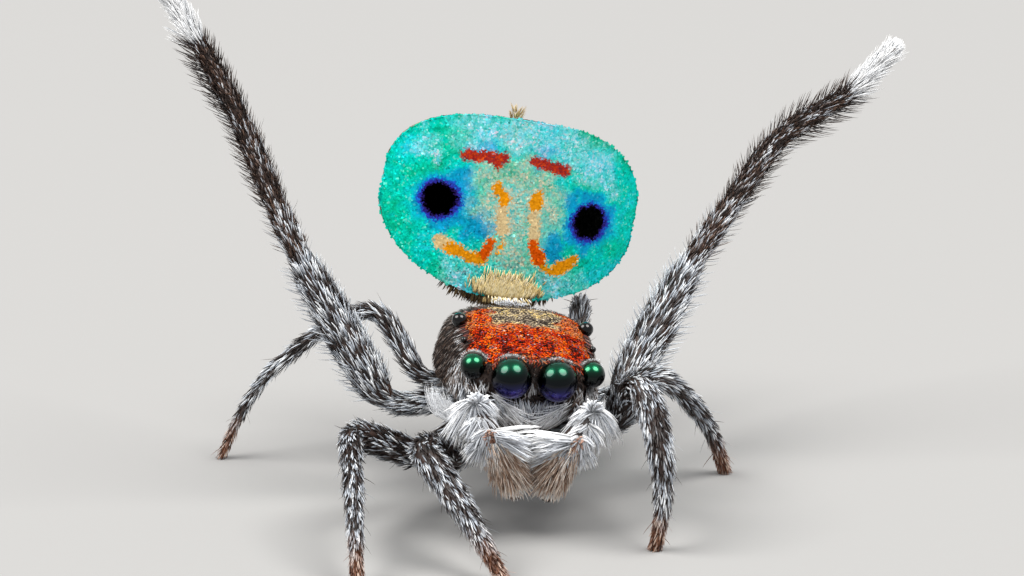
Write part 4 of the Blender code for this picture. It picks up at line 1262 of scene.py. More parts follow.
@dataclass
class Dresser:
    """Grows the coat on each part of the body."""

    groups: Groups
    seed: int = 20

    def field(self, count: int, seed: int) -> tuple[np.ndarray, ...]:
        """Four even random draws for each of many tufts."""
        return tuple(np.random.default_rng(self.seed * 1000 + seed).random((4, count)))

    def along_limb(self, coat: Coat, limb: Limb, first: float, last: float, density: float, length: float,
                   width: float, lean: float, tone: Callable[..., np.ndarray], outer: np.ndarray,
                   arc: tuple[float, float] = (0.0, 360.0), seed: int = 0, curl: float = 0.15) -> None:
        """Cover a stretch of a limb with hair.

        Args:
            coat: the coat that takes the hair.
            limb: the limb.
            first: where the stretch starts, as a distance along the limb.
            last: where it ends.
            density: hairs for each square millimetre.
            length: length of a hair.
            width: width of a hair.
            lean: angle of a hair from straight out towards the tip, in degrees.
            tone: gives tones from distances, angles and a random draw.
            outer: the way that counts as outer.
            arc: the angles that the hair covers, from the outer side.
            seed: start of the random draw.
            curl: how much a hair bends back to the limb.
        """
        middle = float(np.interp((first + last) / 2, limb.lengths, limb.radii))
        share = (arc[1] - arc[0]) / 360
        count = max(int(density * (last - first) * 2 * math.pi * middle * share), 4)
        draw = self.field(count, seed + limb.strip * 37)
        golden = (np.arange(count) * 0.61803399 + draw[0] * 0.3) % 1.0
        distance = first + (last - first) * (np.arange(count) + draw[1]) / count
        angle = np.radians(arc[0] + (arc[1] - arc[0]) * golden)
        centre, heading, radius = limb.at(distance)
        outward = limb.around(heading, angle, outer)
        tilt = np.radians(lean + 22 * (draw[2] - 0.5))[:, None]
        sideways = np.cross(heading, outward) * (draw[3] - 0.5)[:, None] * 0.5
        direction = outward * np.cos(tilt) + heading * np.sin(tilt) + sideways
        tones = tone(distance, angle, draw[0])
        sizes = length * (0.75 + 0.5 * draw[3])
        roots = centre + outward * (radius * 0.97)[:, None]
        coat.grow(roots, direction, outward, sizes, width * (0.8 + 0.4 * draw[1]),
                  -outward * curl * np.cos(tilt) + heading * 0.05, tones, Markings.body(roots),
                  limb.spots(distance, angle))


@dataclass
class LegCoat:
    """The coats of the eight legs."""

    dresser: Dresser
    short: float = 0.15
    short_width: float = 0.019
    density: float = 760.0

    # For each stretch from the coxa to the foot: the share of pale flecks in each pair,
    # the hair's size against the short hair, and how much closer it stands
    PALE = {1: (0.54, 0.58, 0.58, 0.56, 0.52), 2: (0.52, 0.54, 0.54, 0.54, 0.50),
            3: (0.72, 0.50, 0.36, 0.28, 1.15), 4: (0.48, 0.52, 0.52, 0.52, 0.52)}
    SIZES = (1.0, 0.85, 0.85, 0.70, 0.60)
    RAISED_SIZES = (0.85, 0.60, 0.46, 0.42, 0.60)
    CLOSENESS = (1.0, 1.15, 1.15, 1.3, 1.6)

    @staticmethod
    def stripes(limb: Limb, pale: float) -> Callable[..., np.ndarray]:
        """Tones in flecks along a limb, of which a share is pale."""
        def tone(distance: np.ndarray, angle: np.ndarray, draw: np.ndarray) -> np.ndarray:
            """Tone of each hair."""
            places = stacked(np.cos(angle) * 0.25, np.sin(angle) * 0.25, distance * 0.7)
            patches = mottle(places, 0.11, 3.0 + limb.strip)
            return np.clip((patches - 0.5) * 2.0 + pale + (draw - 0.5) * 0.75, 0, 1)
        return tone

    @staticmethod
    def level(value: float, spread: float = 0.3) -> Callable[..., np.ndarray]:
        """Tones round one value."""
        return lambda distance, angle, draw: np.clip(value + (draw - 0.5) * spread, 0, 1)

    def build(self, limbs: dict[str, Limb]) -> None:
        """Grow and finish the coats."""
        grow = self.dresser.along_limb
        grey = HairFinish("leg_hair", (
            (0.0, "211815"), (0.28, "40332e"), (0.45, "6c6867"), (0.62, "a7adb6"), (0.80, "d0d7e0"),
            (1.0, "f8fafc")), 0.45, 0.5)
        material = grey.material(self.dresser.groups)
        brown = HairFinish("raised_leg_hair", (
            (0.0, "22150f"), (0.28, "4a3225"), (0.45, "7c6253"), (0.62, "a9a8ab"), (0.80, "d0d6df"),
            (1.0, "f8fafc")), 0.45, 0.5)
        raised = brown.material(self.dresser.groups)
        thighs = Coat("leg_3_thigh_coat", Strand.HAIR)
        for pair in (1, 2, 3, 4):
            coat = Coat(f"leg_{pair}_coat", Strand.HAIR)
            for name, limb in limbs.items():
                if not name.startswith(f"leg_{pair}"):
                    continue
                j = limb.joints
                ends = [0.02, j[2], j[3], j[4], j[5] - 0.06, j[6] - 0.01]
                sizes = self.RAISED_SIZES if pair == 3 else self.SIZES
                for k, (first, last) in enumerate(zip(ends, ends[1:])):
                    size = sizes[k]
                    sparse = 0.82 if k == 0 or pair == 4 else 1.0
                    grow(thighs if pair == 3 and k == 0 else coat, limb, first, last,
                         self.density * sparse * self.CLOSENESS[k] / size ** 0.7,
                         self.short * size, self.short_width * (0.4 + 0.6 * size), 73,
                         self.stripes(limb, self.PALE[pair][k]), np.array([side_of(name), 0.0, 0.15]),
                         seed=k)
            coat.finish(raised if pair == 3 else material, "leg_hair")
        thighs.finish(material, "leg_hair")
        self.bristles(limbs, material)
        self.fringes(limbs)

    def bristles(self, limbs: dict[str, Limb], material: bpy.types.Material) -> None:
        """Sparse long bristles that stand out of every leg."""
        coat = Coat("leg_bristles", Strand.LONG)
        for name, limb in limbs.items():
            if name.startswith("leg"):
                tip = 5 if "_3_" in name else 6
                self.dresser.along_limb(
                    coat, limb, limb.joints[1], limb.joints[tip] - 0.1, 22, 0.21, 0.0075, 38,
                    lambda distance, angle, draw: np.where(draw > 0.6, 0.7, 0.2),
                    np.array([side_of(name), 0.0, 0.1]), seed=50, curl=0.25)
        coat.finish(material, "leg_hair")

    def fringes(self, limbs: dict[str, Limb]) -> None:
        """The long fringes and the white brushes of the raised legs."""
        grow = self.dresser.along_limb
        long_hair = HairFinish("fringe_hair", (
            (0.0, "241915"), (0.25, "4a3931"), (0.45, "7a6a61"), (0.65, "aeb3ba"), (0.85, "dde2e8"),
            (1.0, "ffffff")), 0.42, 0.35)
        coat = Coat("leg_3_fringes", Strand.LONG)
        brush = Coat("leg_3_brushes", Strand.LONG)
        for name in ("leg_3_right", "leg_3_left"):
            limb = limbs[name]
            outer = np.array([side_of(name), 0.0, 0.0])
            j = limb.joints
            # stretch, density, length, width, lean, tone and seed of each fringe
            rows = ((j[1] + 0.15, j[2] - 0.05, 130, 0.23, 0.018, 34, self.level(0.74), 60),
                    (j[2] + 0.1, j[3], 220, 0.19, 0.014, 38, self.level(0.46, 0.7), 61),
                    (j[3], j[4], 460, 0.21, 0.013, 44, self.level(0.20, 0.45), 62),
                    (j[4], j[5] - 0.04, 620, 0.28, 0.015, 46, self.level(0.12, 0.35), 67))
            for middle, longer in ((0.0, 1.0), (180.0, 0.62 if name.endswith("right") else 0.80)):
                for first, last, density, length, width, lean, tone, seed in rows:
                    grow(coat, limb, first, last, density, length * longer, width, lean, tone, outer,
                         (middle - 50, middle + 50), seed, 0.16)
            grow(coat, limb, j[5] - 0.08, j[5] + 0.06, 800, 0.28, 0.018, 44, self.level(1.0), outer,
                 (-60, 60), 63)
            grow(brush, limb, j[5] - 0.06, j[6] - 0.14, 1700, 0.20, 0.016, 70, self.level(1.0, 0.16),
                 outer, seed=64, curl=0.08)
            grow(brush, limb, j[6] - 0.26, j[6] - 0.03, 1400, 0.09, 0.016, 76, self.level(1.0, 0.1),
                 outer, seed=65, curl=0.0)
            self.tip(brush, limb, 220, 0.07, outer)
        material = long_hair.material(self.dresser.groups)
        coat.finish(material, "leg_hair")
        brush.finish(material, "leg_hair")

    def tip(self, coat: Coat, limb: Limb, count: int, length: float, outer: np.ndarray) -> None:
        """Hair that stands on the very end of a limb.

        Args:
            coat: the coat that takes the hair.
            limb: the limb.
            count: how many hairs.
            length: length of a hair.
            outer: the way that counts as outer.
        """
        draw = self.dresser.field(count, 66 + limb.strip * 37)
        distance = np.full(count, limb.lengths[-1])
        angle = 2 * math.pi * draw[0]
        centre, heading, radius = limb.at(distance)
        outward = limb.around(heading, angle, outer)
        share = np.sqrt(draw[1])[:, None]
        roots = centre + outward * share * radius[:, None] + heading * radius[:, None] * 0.7 * (1 - share)
        coat.grow(roots, heading + outward * share * 0.3, outward, length * (0.6 + 0.5 * draw[2]),
                  0.016 * (0.8 + 0.4 * draw[3]), outward * 0.05, 0.9 + 0.1 * draw[2], np.zeros((count, 3)),
                  limb.spots(distance - 0.01, angle))


@dataclass(frozen=True)
class Tuft:
    """A tuft of long hair that radiates from one place of a palp, in the head's axes on its left side.

    The angles are counted from the outer side, upward.
    """

    place: tuple
    count: int
    first: float
    last: float
    length: float
    forward: float
    droop: float
    spread: float
    tone: float = 0.86
    tan: float = 0.0


@dataclass
class PalpCoat:
    """The white tufts and the shaggy beige tips of the palps."""

    dresser: Dresser
    tufts: tuple = (
        Tuft((0.66, -0.22, -0.20), 300, -200, 5, 0.34, 0.75, 0.55, 0.05, 0.96),
        Tuft((0.63, -0.24, -0.19), 90, 15, 170, 0.11, 0.5, 0.10, 0.05, 0.80),
        Tuft((0.59, -0.33, -0.33), 110, -175, -5, 0.22, 0.80, 0.45, 0.05, 0.90),
        Tuft((0.51, -0.42, -0.43), 90, -175, -5, 0.18, 0.80, 0.40, 0.05, 0.88),
        Tuft((0.46, -0.40, -0.50), 120, 158, 200, 0.52, 0.62, 0.08, 0.070, 0.96),
        Tuft((0.46, -0.38, -0.54), 130, 172, 214, 0.50, 0.40, 0.02, 0.080, 0.88),
        Tuft((0.50, -0.38, -0.52), 200, -125, -15, 0.25, 0.55, 0.36, 0.05, 0.94),
        Tuft((0.42, -0.44, -0.56), 110, -175, -60, 0.13, 0.60, 0.30, 0.07, 0.78),
        Tuft((0.49, -0.45, -0.49), 60, -200, 160, 0.065, 0.90, 0.10, 0.045, 0.55, 0.75),
    )

    def build(self, limbs: dict[str, Limb]) -> None:
        """Grow and finish the coats."""
        white = HairFinish("palp_hair", (
            (0.0, "3a2c25"), (0.25, "8a827e"), (0.5, "c2c6cd"), (0.75, "eaedf2"), (1.0, "ffffff")),
            0.5, 0.50, 0.5)
        beige = HairFinish("palp_tip_hair", (
            (0.0, "644838"), (0.3, "b4927a"), (0.55, "e6cebb"), (0.8, "faf0e5"), (1.0, "fffdfa")), 0.5, 0.45)
        coat = Coat("palp_fans", Strand.LOCK)
        tips = Coat("palp_tips_coat", Strand.HAIR)
        grow = self.dresser.along_limb
        for name in ("palp_right", "palp_left"):
            limb = limbs[name]
            side = side_of(name)
            for k, tuft in enumerate(self.tufts):
                self.radiate(coat, limb, side, tuft, k)
            j = limb.joints
            outer = np.array([side, 0.0, 0.0])
            grow(coat, limb, j[0] + 0.2, j[3] + 0.1, 330, 0.20, 0.018, 60,
                 lambda d, a, r: 0.45 + 0.5 * r, outer, seed=70, curl=0.2)

            def shaggy(distance: np.ndarray, angle: np.ndarray, draw: np.ndarray) -> np.ndarray:
                """Darker in the middle of the tip, cream at its end."""
                share = np.clip((distance - j[4]) / (j[6] - j[4]), 0, 1)
                return np.clip(0.66 - 0.22 * np.sin(share * 3.0) + 0.35 * step(share, 0.72, 1.0)
                               + (draw - 0.5) * 0.75, 0, 1)

            low = j[4] + 0.6 * (j[6] - j[4])
            whole, facing = (0.0, 360.0), 90 * side
            # stretch, density, length, lean, arc, seed and curl of each layer
            rows = ((j[4] + 0.02, low, 1500, 0.16, 58, whole, 71, 0.15),
                    (low, j[6] - 0.04, 1900, 0.095, 74, whole, 73, 0.22),
                    (j[4] + 0.08, j[6] - 0.12, 1500, 0.19, 56, (125, 235), 74, 0.1),
                    (j[4] - 0.02, j[6] - 0.27, 650, 0.26, 77, (facing - 85, facing + 85), 75, 0.05))
            for first, last, density, length, lean, arc, seed, curl in rows:
                grow(tips, limb, first, last, density, length, 0.0125, lean, shaggy, outer, arc, seed, curl)
            grow(tips, limb, j[6] - 0.16, j[6] - 0.03, 2000, 0.07, 0.013, 82,
                 lambda d, a, r: 0.62 + 0.38 * r, outer, seed=72, curl=0.1)
        coat.finish(white.material(self.dresser.groups), "palp_hair")
        tips.finish(beige.material(self.dresser.groups), "palp_hair")

    def radiate(self, coat: Coat, limb: Limb, side: float, tuft: Tuft, number: int) -> None:
        """Grow one tuft."""
        count = tuft.count
        own = self.dresser.field(max(count // 7, 6), 800 + number * 10 + int(side))
        draw = bundled(self.dresser.field(count, 400 + number * 10 + int(side)), own, 0.60)
        more = self.dresser.field(count, 600 + number * 10 + int(side))
        angle = np.radians(tuft.first + (tuft.last - tuft.first) * draw[0])
        flat = stacked(np.cos(angle) * side, 0.0, np.sin(angle))
        forward = np.array([0.0, -1.0, 0.0])
        ball = unit(stacked(*more[:3]) - 0.5) * (more[3] ** 0.5)[:, None]
        roots = np.array([tuft.place[0] * side, *tuft.place[1:]]) + ball * tuft.spread + flat * 0.03
        ahead = (tuft.forward * (1.05 - 0.95 * draw[2]))[:, None]
        heading = flat * (0.45 + 0.75 * draw[1])[:, None] + forward * ahead
        down = np.array([0.0, 0.0, -1.0]) * (tuft.droop * (0.6 + 0.8 * draw[3]))[:, None]
        bends = down - forward * 0.18 - ball * 0.10
        roots = HEAD.out(roots)
        spots = stacked((limb.strip + 0.1 + 0.8 * draw[0]) / STRIPS, 0.4 + 0.2 * draw[1])
        tones = np.clip(tuft.tone + (more[1] - 0.5) * 0.55 + (draw[2] - 0.5) * 0.75, 0, 1)
        faces = HEAD.aim(forward + ball * 0.5)
        coat.grow(roots, HEAD.aim(heading), faces, tuft.length * (0.55 + 0.6 * draw[3]),
                  0.022 * (0.75 + 0.5 * draw[2]), HEAD.aim(bends), tones,
                  np.tile([0.0, 0.0, tuft.tan], (count, 1)), spots)


@dataclass
class HeadCoat:
    """The scales of the crown and the hair of the face and the sides."""

    dresser: Dresser
    eyes: Eyes
    crown_places: int = 52000
    crown_length: float = 0.027
    crown_width: float = 0.023
    side_places: int = 17000
    sink: float = 0.004
    ring_counts: tuple = (("eye_front", 760, 0), ("eye_side", 420, 5))
    ring_width: float = 0.0085

    def spots(self, local: np.ndarray) -> np.ndarray:
        """Places on the unwrapped head: round its long axis, with the face apart."""
        round_axis = np.arctan2(local[:, 0], local[:, 2] + 0.2) / (2 * math.pi) + 0.5
        side = stacked(round_axis * 0.98 + 0.01, 0.30 + 0.68 * np.clip(local[:, 1] / 2.1, 0, 1))
        face = stacked(0.5 + local[:, 0] * 0.6, 0.14 + local[:, 2] * 0.3)
        return np.where((local[:, 1] < 0.06)[:, None], face, side)

    def clear_of_eyes(self, points: np.ndarray, margin: float) -> np.ndarray:
        """Which points lie outside every eye."""
        keep = np.ones(len(points), bool)
        for _, _, centre, radius, _ in self.eyes.all():
            keep &= np.linalg.norm(points - centre, axis=1) > radius + margin
        return keep

    def build(self, shell: bpy.types.Object) -> None:
        """Grow and finish the coat of the head."""
        groups = self.dresser.groups
        finish = HairFinish("head_hair", (
            (0.0, "160c08"), (0.30, "38241a"), (0.48, "6c5648"), (0.66, "aaa39e"), (0.85, "d8dade"),
            (1.0, "f8f9fb")), 0.48)
        white = HairFinish("face_hair", (
            (0.0, "2c201a"), (0.30, "66605d"), (0.50, "a6abb3"), (0.75, "dadfe6"), (1.0, "fafbfd")),
            0.5, 0.45, 0.5)
        scales = HairFinish("crown_scale", (
            (0.0, "160c08"), (0.4, "38200f"), (0.7, "7a4a24"), (0.88, "a87840"), (1.0, "d8c8b0")),
            0.6, 0.20, 0.06)
        self.crown(shell).finish(scales.material(groups), "carapace_hair")
        material = finish.material(groups)
        self.sides(shell).finish(material, "carapace_hair")
        self.eye_rings().finish(material, "carapace_hair")
        self.face().finish(white.material(groups), "carapace_hair")

    def crown(self, shell: bpy.types.Object) -> Coat:
        """Scales over the top of the head."""
        points, normals = scatter(shell, self.crown_places, 81)
        local = HEAD.into(points)
        marks = Markings.body(points)
        keep = (marks[:, :2].sum(axis=1) > 0.25) & self.clear_of_eyes(points, 0.0)
        points, normals, local, marks = points[keep], normals[keep], local[keep], marks[keep]
        draw = self.dresser.field(len(points), 82)
        angle = (draw[0] - 0.5) * 1.9
        ahead = level_with(HEAD.aim(stacked(np.sin(angle), -np.cos(angle), 0.1)), normals)
        lift = (0.22 + 0.35 * draw[1])[:, None]
        patches = mottle(points, 0.13, 8.0)
        far = np.abs(local[:, 0])
        edge = (step(local[:, 1], 0.60, 0.74) + 0.7 * step(far, 0.58, 0.72)
                + 0.5 * (1 - step(local[:, 1], 0.10, 0.22)))
        tones = (0.40 - 0.10 * step(-local[:, 0], 0.30, 0.60) + (patches - 0.5) * 1.2
                 + (draw[2] - 0.5) * 0.75 + 0.42 * edge * marks[:, 0])
        tones = np.clip(tones, 0.05, 0.87)
        tones = np.where(draw[3] > 0.95, 0.90 + 0.10 * draw[0] ** 2, tones)
        tones = np.where(draw[3] < 0.14, 0.03, tones)
        coat = Coat("crown_scales", Strand.SCALE, 0.22)
        coat.grow(points - normals * self.sink, ahead + normals * lift, normals,
                  self.crown_length * (0.8 + 0.5 * draw[1]), self.crown_width * (0.8 + 0.5 * draw[2]),
                  normals * -0.1, tones, marks, self.spots(local))
        return coat

    def sides(self, shell: bpy.types.Object) -> Coat:
        """Hair on the sides, the cheeks, the face and the slope behind."""
        points, normals = scatter(shell, self.side_places, 83)
        local = HEAD.into(points)
        marks = Markings.body(points)
        keep = (marks[:, 0] + marks[:, 1] < 0.6) & (local[:, 2] > -0.62) & self.clear_of_eyes(points, 0.012)
        keep &= (local[:, 1] < 1.2) | (self.dresser.field(len(points), 85)[0] < 0.6)
        points, normals, local, marks = points[keep], normals[keep], local[keep], marks[keep]
        x, y, z = local.T
        side = np.sign(x)
        draw = self.dresser.field(len(points), 84)
        cheek = step(-z, -0.02, 0.12) * (1 - step(y, 0.45, 0.75))
        face = 1 - step(y, 0.05, 0.10)
        margin = step(-z, 0.48, 0.56) * step(y, 0.05, 0.2) * (1 - step(y, 0.50, 0.65))
        down = stacked(side * 0.05, -0.12, -1.0)
        inward = stacked(-side * 0.9, -0.25, -0.45)
        upward = stacked(x * 0.8, -0.6, np.sign(z + 0.02))
        low_face = face * step(-z, 0.10, 0.2)
        flow = down + (inward - down) * np.maximum(cheek * (1 - face), low_face)[:, None]
        flow += (upward - flow) * (face * (1 - low_face))[:, None]
        flow[:, 0] += (draw[0] - 0.5) * 0.7
        flow[:, 2] += (draw[1] - 0.5) * 0.5
        heading = level_with(HEAD.aim(flow), normals)
        lift = 0.30 + 0.30 * draw[2]
        length = 0.095 + 0.09 * cheek + 0.05 * margin - 0.04 * face * (1 - low_face)
        beside = (step(np.abs(x), 0.62, 0.72) * step(y, 0.30, 0.42) * (1 - step(y, 0.85, 1.0))
                  * step(z, 0.0, 0.08))
        pale = (0.20 + 0.58 * beside * (draw[0] > 0.45) + 0.50 * cheek * (1 - low_face)
                + 0.06 * face - 0.06 * low_face + 0.45 * margin)
        tones = np.clip(pale + (draw[3] - 0.5) * 0.85, 0, 1)
        streaks = (y < 0.16) & (z > 0.10) & (draw[0] > 0.52)
        marks = np.where(streaks[:, None], np.array([[0.9, 0.0, 0.0]]), marks)
        tones = np.where(streaks, 0.45 + 0.38 * draw[1], tones)
        coat = Coat("head_hair", Strand.HAIR)
        coat.grow(points - normals * self.sink, heading + normals * lift[:, None], normals,
                  length * (0.75 + 0.5 * draw[1]), 0.011 + 0.005 * np.maximum(cheek, margin),
                  normals * -0.12, tones, marks, self.spots(local))
        return coat

    def eye_rings(self) -> Coat:
        """Rings of short pale hair round the eyes of the front row."""
        coat = Coat("eye_ring_hair", Strand.HAIR)
        for name, count, seed, side in ((*row, side) for row in self.ring_counts for side in (-1, 1)):
            centre, radius, axis = self.eyes.eye(name, side)
            draw = self.dresser.field(count, 90 + side + seed)
            angle = 2 * math.pi * draw[0]
            right = unit(np.cross(axis, (0.0, 0.0, 1.0)))
            top = np.cross(right, axis)
            radial = right * np.cos(angle)[:, None] + top * np.sin(angle)[:, None]
            roots = centre + radial * (radius * (0.95 + 0.06 * draw[1]))[:, None] - axis * (radius * 0.36)
            around = np.cross(axis, radial) * (draw[2] - 0.5)[:, None] * 1.6
            heading = radial * 0.9 + around + axis * (0.36 - 0.26 * draw[1])[:, None]
            tones = np.clip(0.88 - 0.12 * step(np.sin(angle), 0.0, 0.7) + (draw[3] - 0.5) * 0.6, 0, 1)
            coat.grow(roots, heading, axis - radial * 0.3, 0.030 * (0.7 + 0.7 * draw[1]),
                      np.full(count, self.ring_width), radial * 0.15, tones, np.zeros((count, 3)),
                      self.spots(HEAD.into(roots)))
        return coat

    def sweep(self, coat: Coat, count: int, seed: int, roots: Callable, heading: Callable, bend: tuple,
              face: tuple, length: Callable, tone: float, bundles: int, width: float) -> None:
        """Grow long hair on both sides of the face.

        Args:
            coat: the coat that takes the hair.
            count: how many hairs on each side.
            seed: start of the random draw.
            roots: gives the roots from the side and the draw, in the head's axes.
            heading: gives the headings from the side and the draw.
            bend: how the tips move aside, on the left.
            face: the way the flat sides look, on the left.
            length: gives the lengths from the draw.
            tone: the middle tone.
            bundles: how many bundles the hairs of a side are gathered in.
            width: width of a hair.
        """
        for side in (-1, 1):
            own = self.dresser.field(bundles, seed + 300 + side)
            draw = bundled(self.dresser.field(count, seed + side), own, 0.62)
            more = self.dresser.field(count, seed + 500 + side)
            place = roots(side, draw)
            mirrored = np.array([side, 1.0, 1.0])
            bends = np.tile(np.array(bend) * mirrored, (count, 1))
            faces = np.array(face) * mirrored + (stacked(*more[:3]) - 0.5) * 0.9
            coat.grow(HEAD.out(place), HEAD.aim(heading(side, draw)), HEAD.aim(faces),
                      length(draw), width * (0.75 + 0.5 * more[3]), HEAD.aim(bends),
                      np.clip(tone + (more[0] - 0.5) * 0.8 + (draw[2] - 0.5) * 0.7, 0, 1),
                      np.zeros((count, 3)), self.spots(place))

    def face(self) -> Coat:
        """Long white hair: from the cheeks to the middle below the eyes, and along the lower edge."""
        coat = Coat("face_hair", Strand.LONG, 0.55)
        table = np.array(Head().sections)

        def cheek_roots(side: int, draw: np.ndarray) -> np.ndarray:
            """From under the side eye to below the front eye."""
            share = draw[0]
            return stacked(side * (0.72 - 0.36 * share), 0.17 - 0.18 * share + 0.02 * draw[2],
                           -0.13 - 0.24 * draw[1] - 0.05 * share)

        def cheek_heading(side: int, draw: np.ndarray) -> np.ndarray:
            """Inward and down, and a little forward."""
            return stacked(-side * (0.65 + 0.6 * draw[1]), -0.30 - 0.45 * draw[2], -0.02 - draw[3])

        def edge_roots(side: int, draw: np.ndarray) -> np.ndarray:
            """Along the lower edge of the side."""
            y = 0.08 + 0.46 * draw[0]
            width, bottom = (np.interp(y, table[:, 0], table[:, k]) for k in (1, 3))
            return stacked(side * (width - 0.03), y, bottom - 0.02 - 0.27 * draw[1])

        def edge_heading(side: int, draw: np.ndarray) -> np.ndarray:
            """Outward and back."""
            return stacked(side * (0.95 + 0.3 * draw[2]), 0.25 + 0.3 * (draw[2] - 0.5),
                           -0.85 + 0.50 * draw[3])

        def brow_roots(side: int, draw: np.ndarray) -> np.ndarray:
            """On the middle of the face, below the front eyes."""
            return stacked(side * (0.02 + 0.36 * draw[0]), 0.0, -0.22 - 0.10 * draw[1])

        def brow_heading(side: int, draw: np.ndarray) -> np.ndarray:
            """Down and a little forward, across the middle or away from it."""
            return stacked(side * (0.9 * draw[2] - 0.75), -0.55 - 0.3 * draw[1], -0.55 - 0.4 * draw[3])

        def under_roots(side: int, draw: np.ndarray) -> np.ndarray:
            """Below the side eye."""
            return stacked(side * (0.74 - 0.16 * draw[0]), 0.12 + 0.14 * draw[1], -0.22 - 0.16 * draw[2])

        def under_heading(side: int, draw: np.ndarray) -> np.ndarray:
            """Down and forward, to either side."""
            return stacked(side * (0.5 - 0.9 * draw[3]), -0.5 - 0.2 * draw[0], -0.8)

        self.sweep(coat, 250, 97, cheek_roots, cheek_heading, (0.0, 0.20, 0.05), (0.0, -0.8, 0.6),
                   lambda draw: (0.66 - 0.10 * draw[0]) * (0.35 + 0.85 * draw[2]), 1.0, 62, 0.0150)
        self.sweep(coat, 80, 497, brow_roots, brow_heading, (0.0, 0.20, 0.05), (0.0, -0.8, 0.6),
                   lambda draw: 0.22 * (0.5 + 0.8 * draw[3]), 0.70, 40, 0.0130)
        self.sweep(coat, 480, 297, edge_roots, edge_heading, (-0.40, 0.40, 0.75), (0.8, -0.5, 0.6),
                   lambda draw: 0.42 * (0.40 + 0.65 * draw[2]), 1.0, 60, 0.0150)
        self.sweep(coat, 120, 397, under_roots, under_heading, (0.0, 0.15, -0.15), (0.3, -1.0, 0.2),
                   lambda draw: 0.20 * (0.6 + 0.6 * draw[0]), 0.86, 34, 0.016)
        return coat


